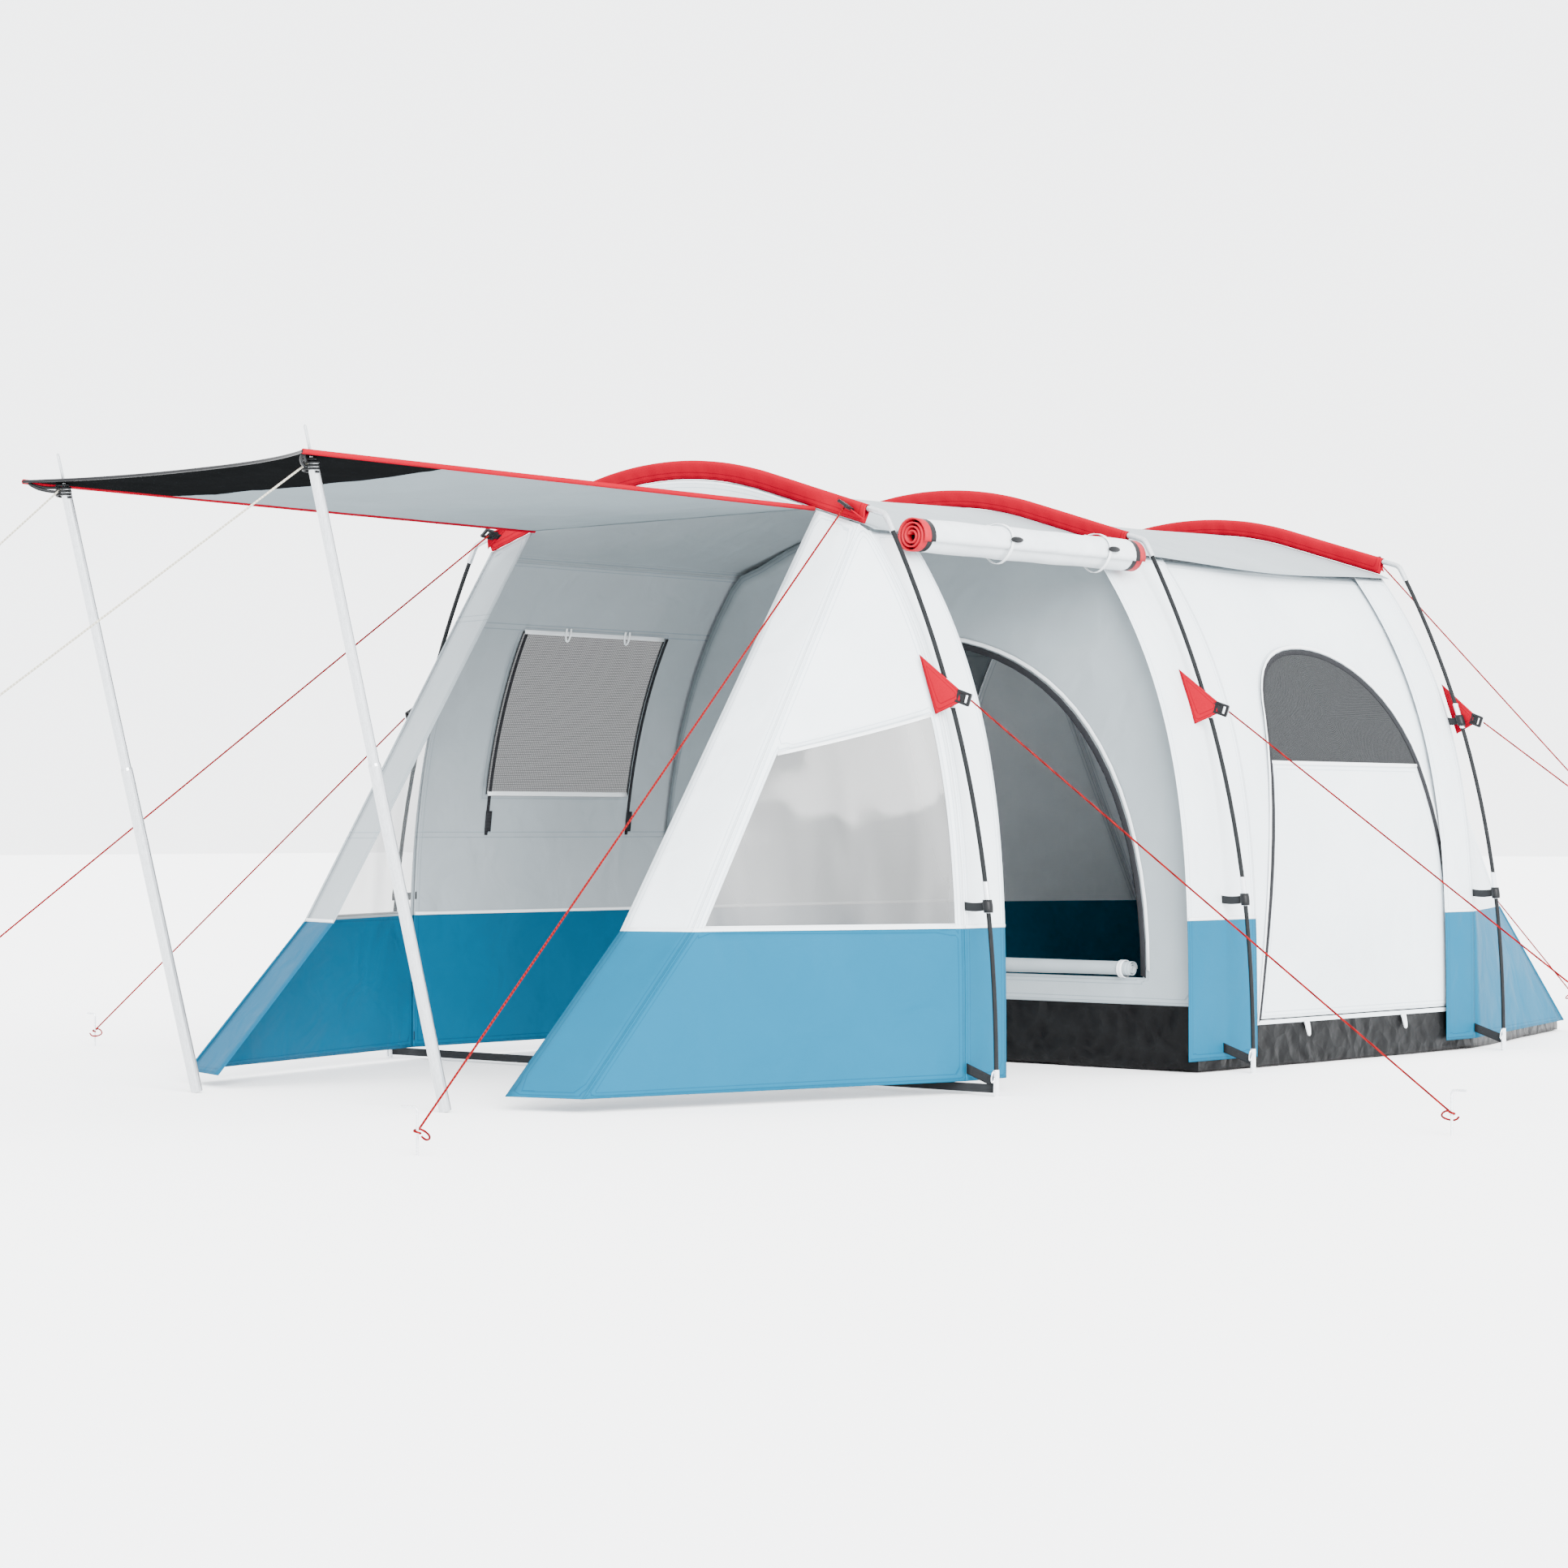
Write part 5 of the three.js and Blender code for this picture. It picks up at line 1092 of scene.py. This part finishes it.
def collar(name, at):
    bm = bmesh.new()
    bmesh.ops.create_cone(bm, cap_ends=False, segments=24, radius1=CLIP_R, radius2=CLIP_R, depth=CLIP_HIGH)
    uprights = [e for e in bm.edges if abs(e.verts[0].co.z - e.verts[1].co.z) > CLIP_HIGH / 2]
    bmesh.ops.subdivide_edges(bm, edges=uprights, cuts=3)
    for vert in bm.verts:
        swell = 1 + 0.14 * cos(vert.co.z / CLIP_HIGH * pi)
        lean = (leg_x(at[2] + vert.co.z) - leg_x(at[2])) * copysign(1, at[0])
        vert.co = Vector((vert.co.x * swell + lean + at[0], vert.co.y * swell + at[1], vert.co.z + at[2]))
    made = shown(name, to_mesh(name, bm), black_plastic)
    wall = made.modifiers.new("wall", "SOLIDIFY")
    wall.thickness = 0.0022
    wall.offset = 1


STRAPS = [("front", FRONT_Y, 0.003, 0.440), ("middle", MIDDLE_Y, 0.0, 0.440),
    ("rear", REAR_Y, -0.003, 0.440), ("rear_upper", REAR_Y, -0.003, 0.925)]
for side, sign in SIDES:
    for name, arch_y, shift, z in STRAPS:
        start, end = wall_x(z) - 0.004, leg_x(z) - 0.0085
        points = [(sign * between(start, end, s), arch_y + between(shift, 0, s), z - 0.003 * sin(pi * s))
            for s in stops(0, 1, 0.2)]
        tape(f"{name}_clip_strap_{side}", points, (0, 0, 1), 0.020, webbing, slot="webbing", thick=0.002)
        collar(f"{name}_clip_{side}", (sign * leg_x(z), arch_y, z))
    for name, arch_y, shift, _ in STRAPS[:3]:
        foot = leg_x(0.03)
        start, end = wall_x(0.06) - 0.002, foot - 0.009
        points = [(sign * between(start, end, s), arch_y + shift * (1 - s), between(0.062, 0.034, s))
            for s in stops(0, 1, 0.2)]
        tape(f"{name}_foot_tab_{side}", points, (0, 0, 1), 0.024, webbing, slot="webbing", thick=0.002)
        ring = [(sign * (foot + 0.003) + 0.002 * sin(a), arch_y - 0.0105 - 0.011 * (1 - cos(a)) * 0.5,
            0.046 + 0.013 * sin(a)) for a in [2 * pi * k / 14 for k in range(15)]]
        pin = [(sign * (foot + 0.001), arch_y - 0.0095, z) for z in (0.036, 0.020, 0.0035)]
        rope(f"{name}_ring_pin_{side}", ring + pin, 0.0019, galvanised)
tape("front_foot_strap", [(x, FRONT_Y, 0.018) for x in stops(-1.038, 1.038, 0.05)], (0, 0, 1), 0.020,
    webbing, slot="webbing", thick=0.002, slack=0.001, sheet=True, replaces="foot_strap")

# ---- guy-line flaps
# Double-folded red taffeta sewn to the sleeves' ends and to the walls beside each leg. Each takes a moulded
# ladder lock on a turn of webbing, and the line is threaded through it.


def ladder_lock(name, at, along, across):
    along, across = Vector(along).normalized(), Vector(across).normalized()
    up = along.cross(across).normalized()
    across = up.cross(along).normalized()
    bm = bmesh.new()
    bars = [(0, 0.0125, 0.038, 0.006), (0, -0.0125, 0.038, 0.006)]
    bars += [(x, 0, 0.007, 0.026) for x in (-0.0155, 0.0, 0.0155)]
    for x, y, long, wide in bars:
        made = bmesh.ops.create_cube(bm, size=1)["verts"]
        bmesh.ops.scale(bm, vec=(long, wide, 0.0075), verts=made)
        bmesh.ops.translate(bm, vec=(x, y, 0.001 if long < 0.01 else 0), verts=made)
    bmesh.ops.bevel(bm, geom=bm.edges[:], offset=0.0011, segments=2, affect="EDGES", profile=0.5,
        material=-1)
    for vert in bm.verts:
        x, y, z = vert.co
        vert.co = Vector(at) + along * x + across * y + up * z
    shown(name, to_mesh(name, bm, smooth=False), black_plastic)


def flap(name, root_a, root_b, tip_a, tip_b):
    a, b, c, d = (Vector(p) for p in (root_a, root_b, tip_a, tip_b))
    def place(u, v):
        at = a.lerp(b, u).lerp(c.lerp(d, u), v)
        return at + (b - a).cross(c - a).normalized() * 0.003 * sin(pi * u) * sin(pi * v)
    lay_cloth(name, stops(0, 1, 0.1), stops(0, 1, 0.1), place, red_taffeta, slot="red_cloth", slack=0.001,
        thick=0.0022, pull=0.02, sheet=True)
    tip = (c + d) / 2
    out = (tip - (a + b) / 2).normalized()
    across = (d - c).normalized()
    tape(f"{name}_webbing", [tip - out * 0.03, tip - out * 0.012, tip, tip + out * 0.008], across, 0.018,
        webbing, slot="webbing", thick=0.0034)
    ladder_lock(f"{name}_lock", tip + out * 0.004, out, across)


for side, sign in SIDES:
    for name, arch_y, face in (("front", FRONT_Y, -1), ("rear", REAR_Y, 1)):
        near, far = 0.570, 0.655
        root_a = (sign * near, arch_y + face * 0.009, pole_z(near) + 0.004)
        root_b = (sign * far, arch_y + face * 0.009, pole_z(far) - 0.030)
        flap(f"{name}_sleeve_flap_{side}", root_a, root_b, (sign * 0.606, arch_y + face * 0.034, 1.400),
            (sign * 0.630, arch_y + face * 0.034, 1.384))
    for name, arch_y, face in (("front", FRONT_Y, -1), ("middle", MIDDLE_Y, -1), ("rear", REAR_Y, 1)):
        root = arch_y + face * 0.024
        tip_y = arch_y + face * 0.0092
        flap(f"{name}_wall_flap_{side}", (sign * (wall_x(1.030) + 0.0012), root, 1.030),
            (sign * (wall_x(0.888) + 0.0012), root, 0.888), (sign * 0.956, tip_y, 0.937),
            (sign * 0.950, tip_y, 0.915))
flap("rear_centre_flap", (-0.032, REAR_Y + 0.009, APEX_Z), (0.032, REAR_Y + 0.009, APEX_Z),
    (-0.011, REAR_Y + 0.030, APEX_Z - 0.026), (0.011, REAR_Y + 0.030, APEX_Z - 0.026))

# ---- floor and light
# A pale, even studio floor, a broad soft light from the right of the camera and a bright room
# round it, so that the shadows stay open and the white cloth keeps its shape.
bm = bmesh.new()
bmesh.ops.create_grid(bm, x_segments=1, y_segments=1, size=60)
floor = bpy.data.objects.new("studio_floor", to_mesh("studio_floor", bm, smooth=False))
link(floor)
floor_paint, add, place = new_material("matt white studio floor")
cloud = add("TexNoise", {"Vector": place, "Scale": 0.6})
two_tone(add, cloud, "#fdfdfd", "#ffffff", 0.9, 0.1)
floor.data.materials.append(floor_paint)

room = bpy.data.worlds.new("studio")
room.use_nodes = True
room.node_tree.nodes["Background"].inputs["Color"].default_value = (0.97, 0.985, 1, 1)
room.node_tree.nodes["Background"].inputs["Strength"].default_value = 4.6
bpy.context.scene.world = room
key = bpy.data.lights.new("key", "SUN")
key.energy = 11.0
key.angle = radians(40)
key_light = bpy.data.objects.new("key", key)
key_light.rotation_euler = (radians(66), 0, radians(58))
link(key_light)
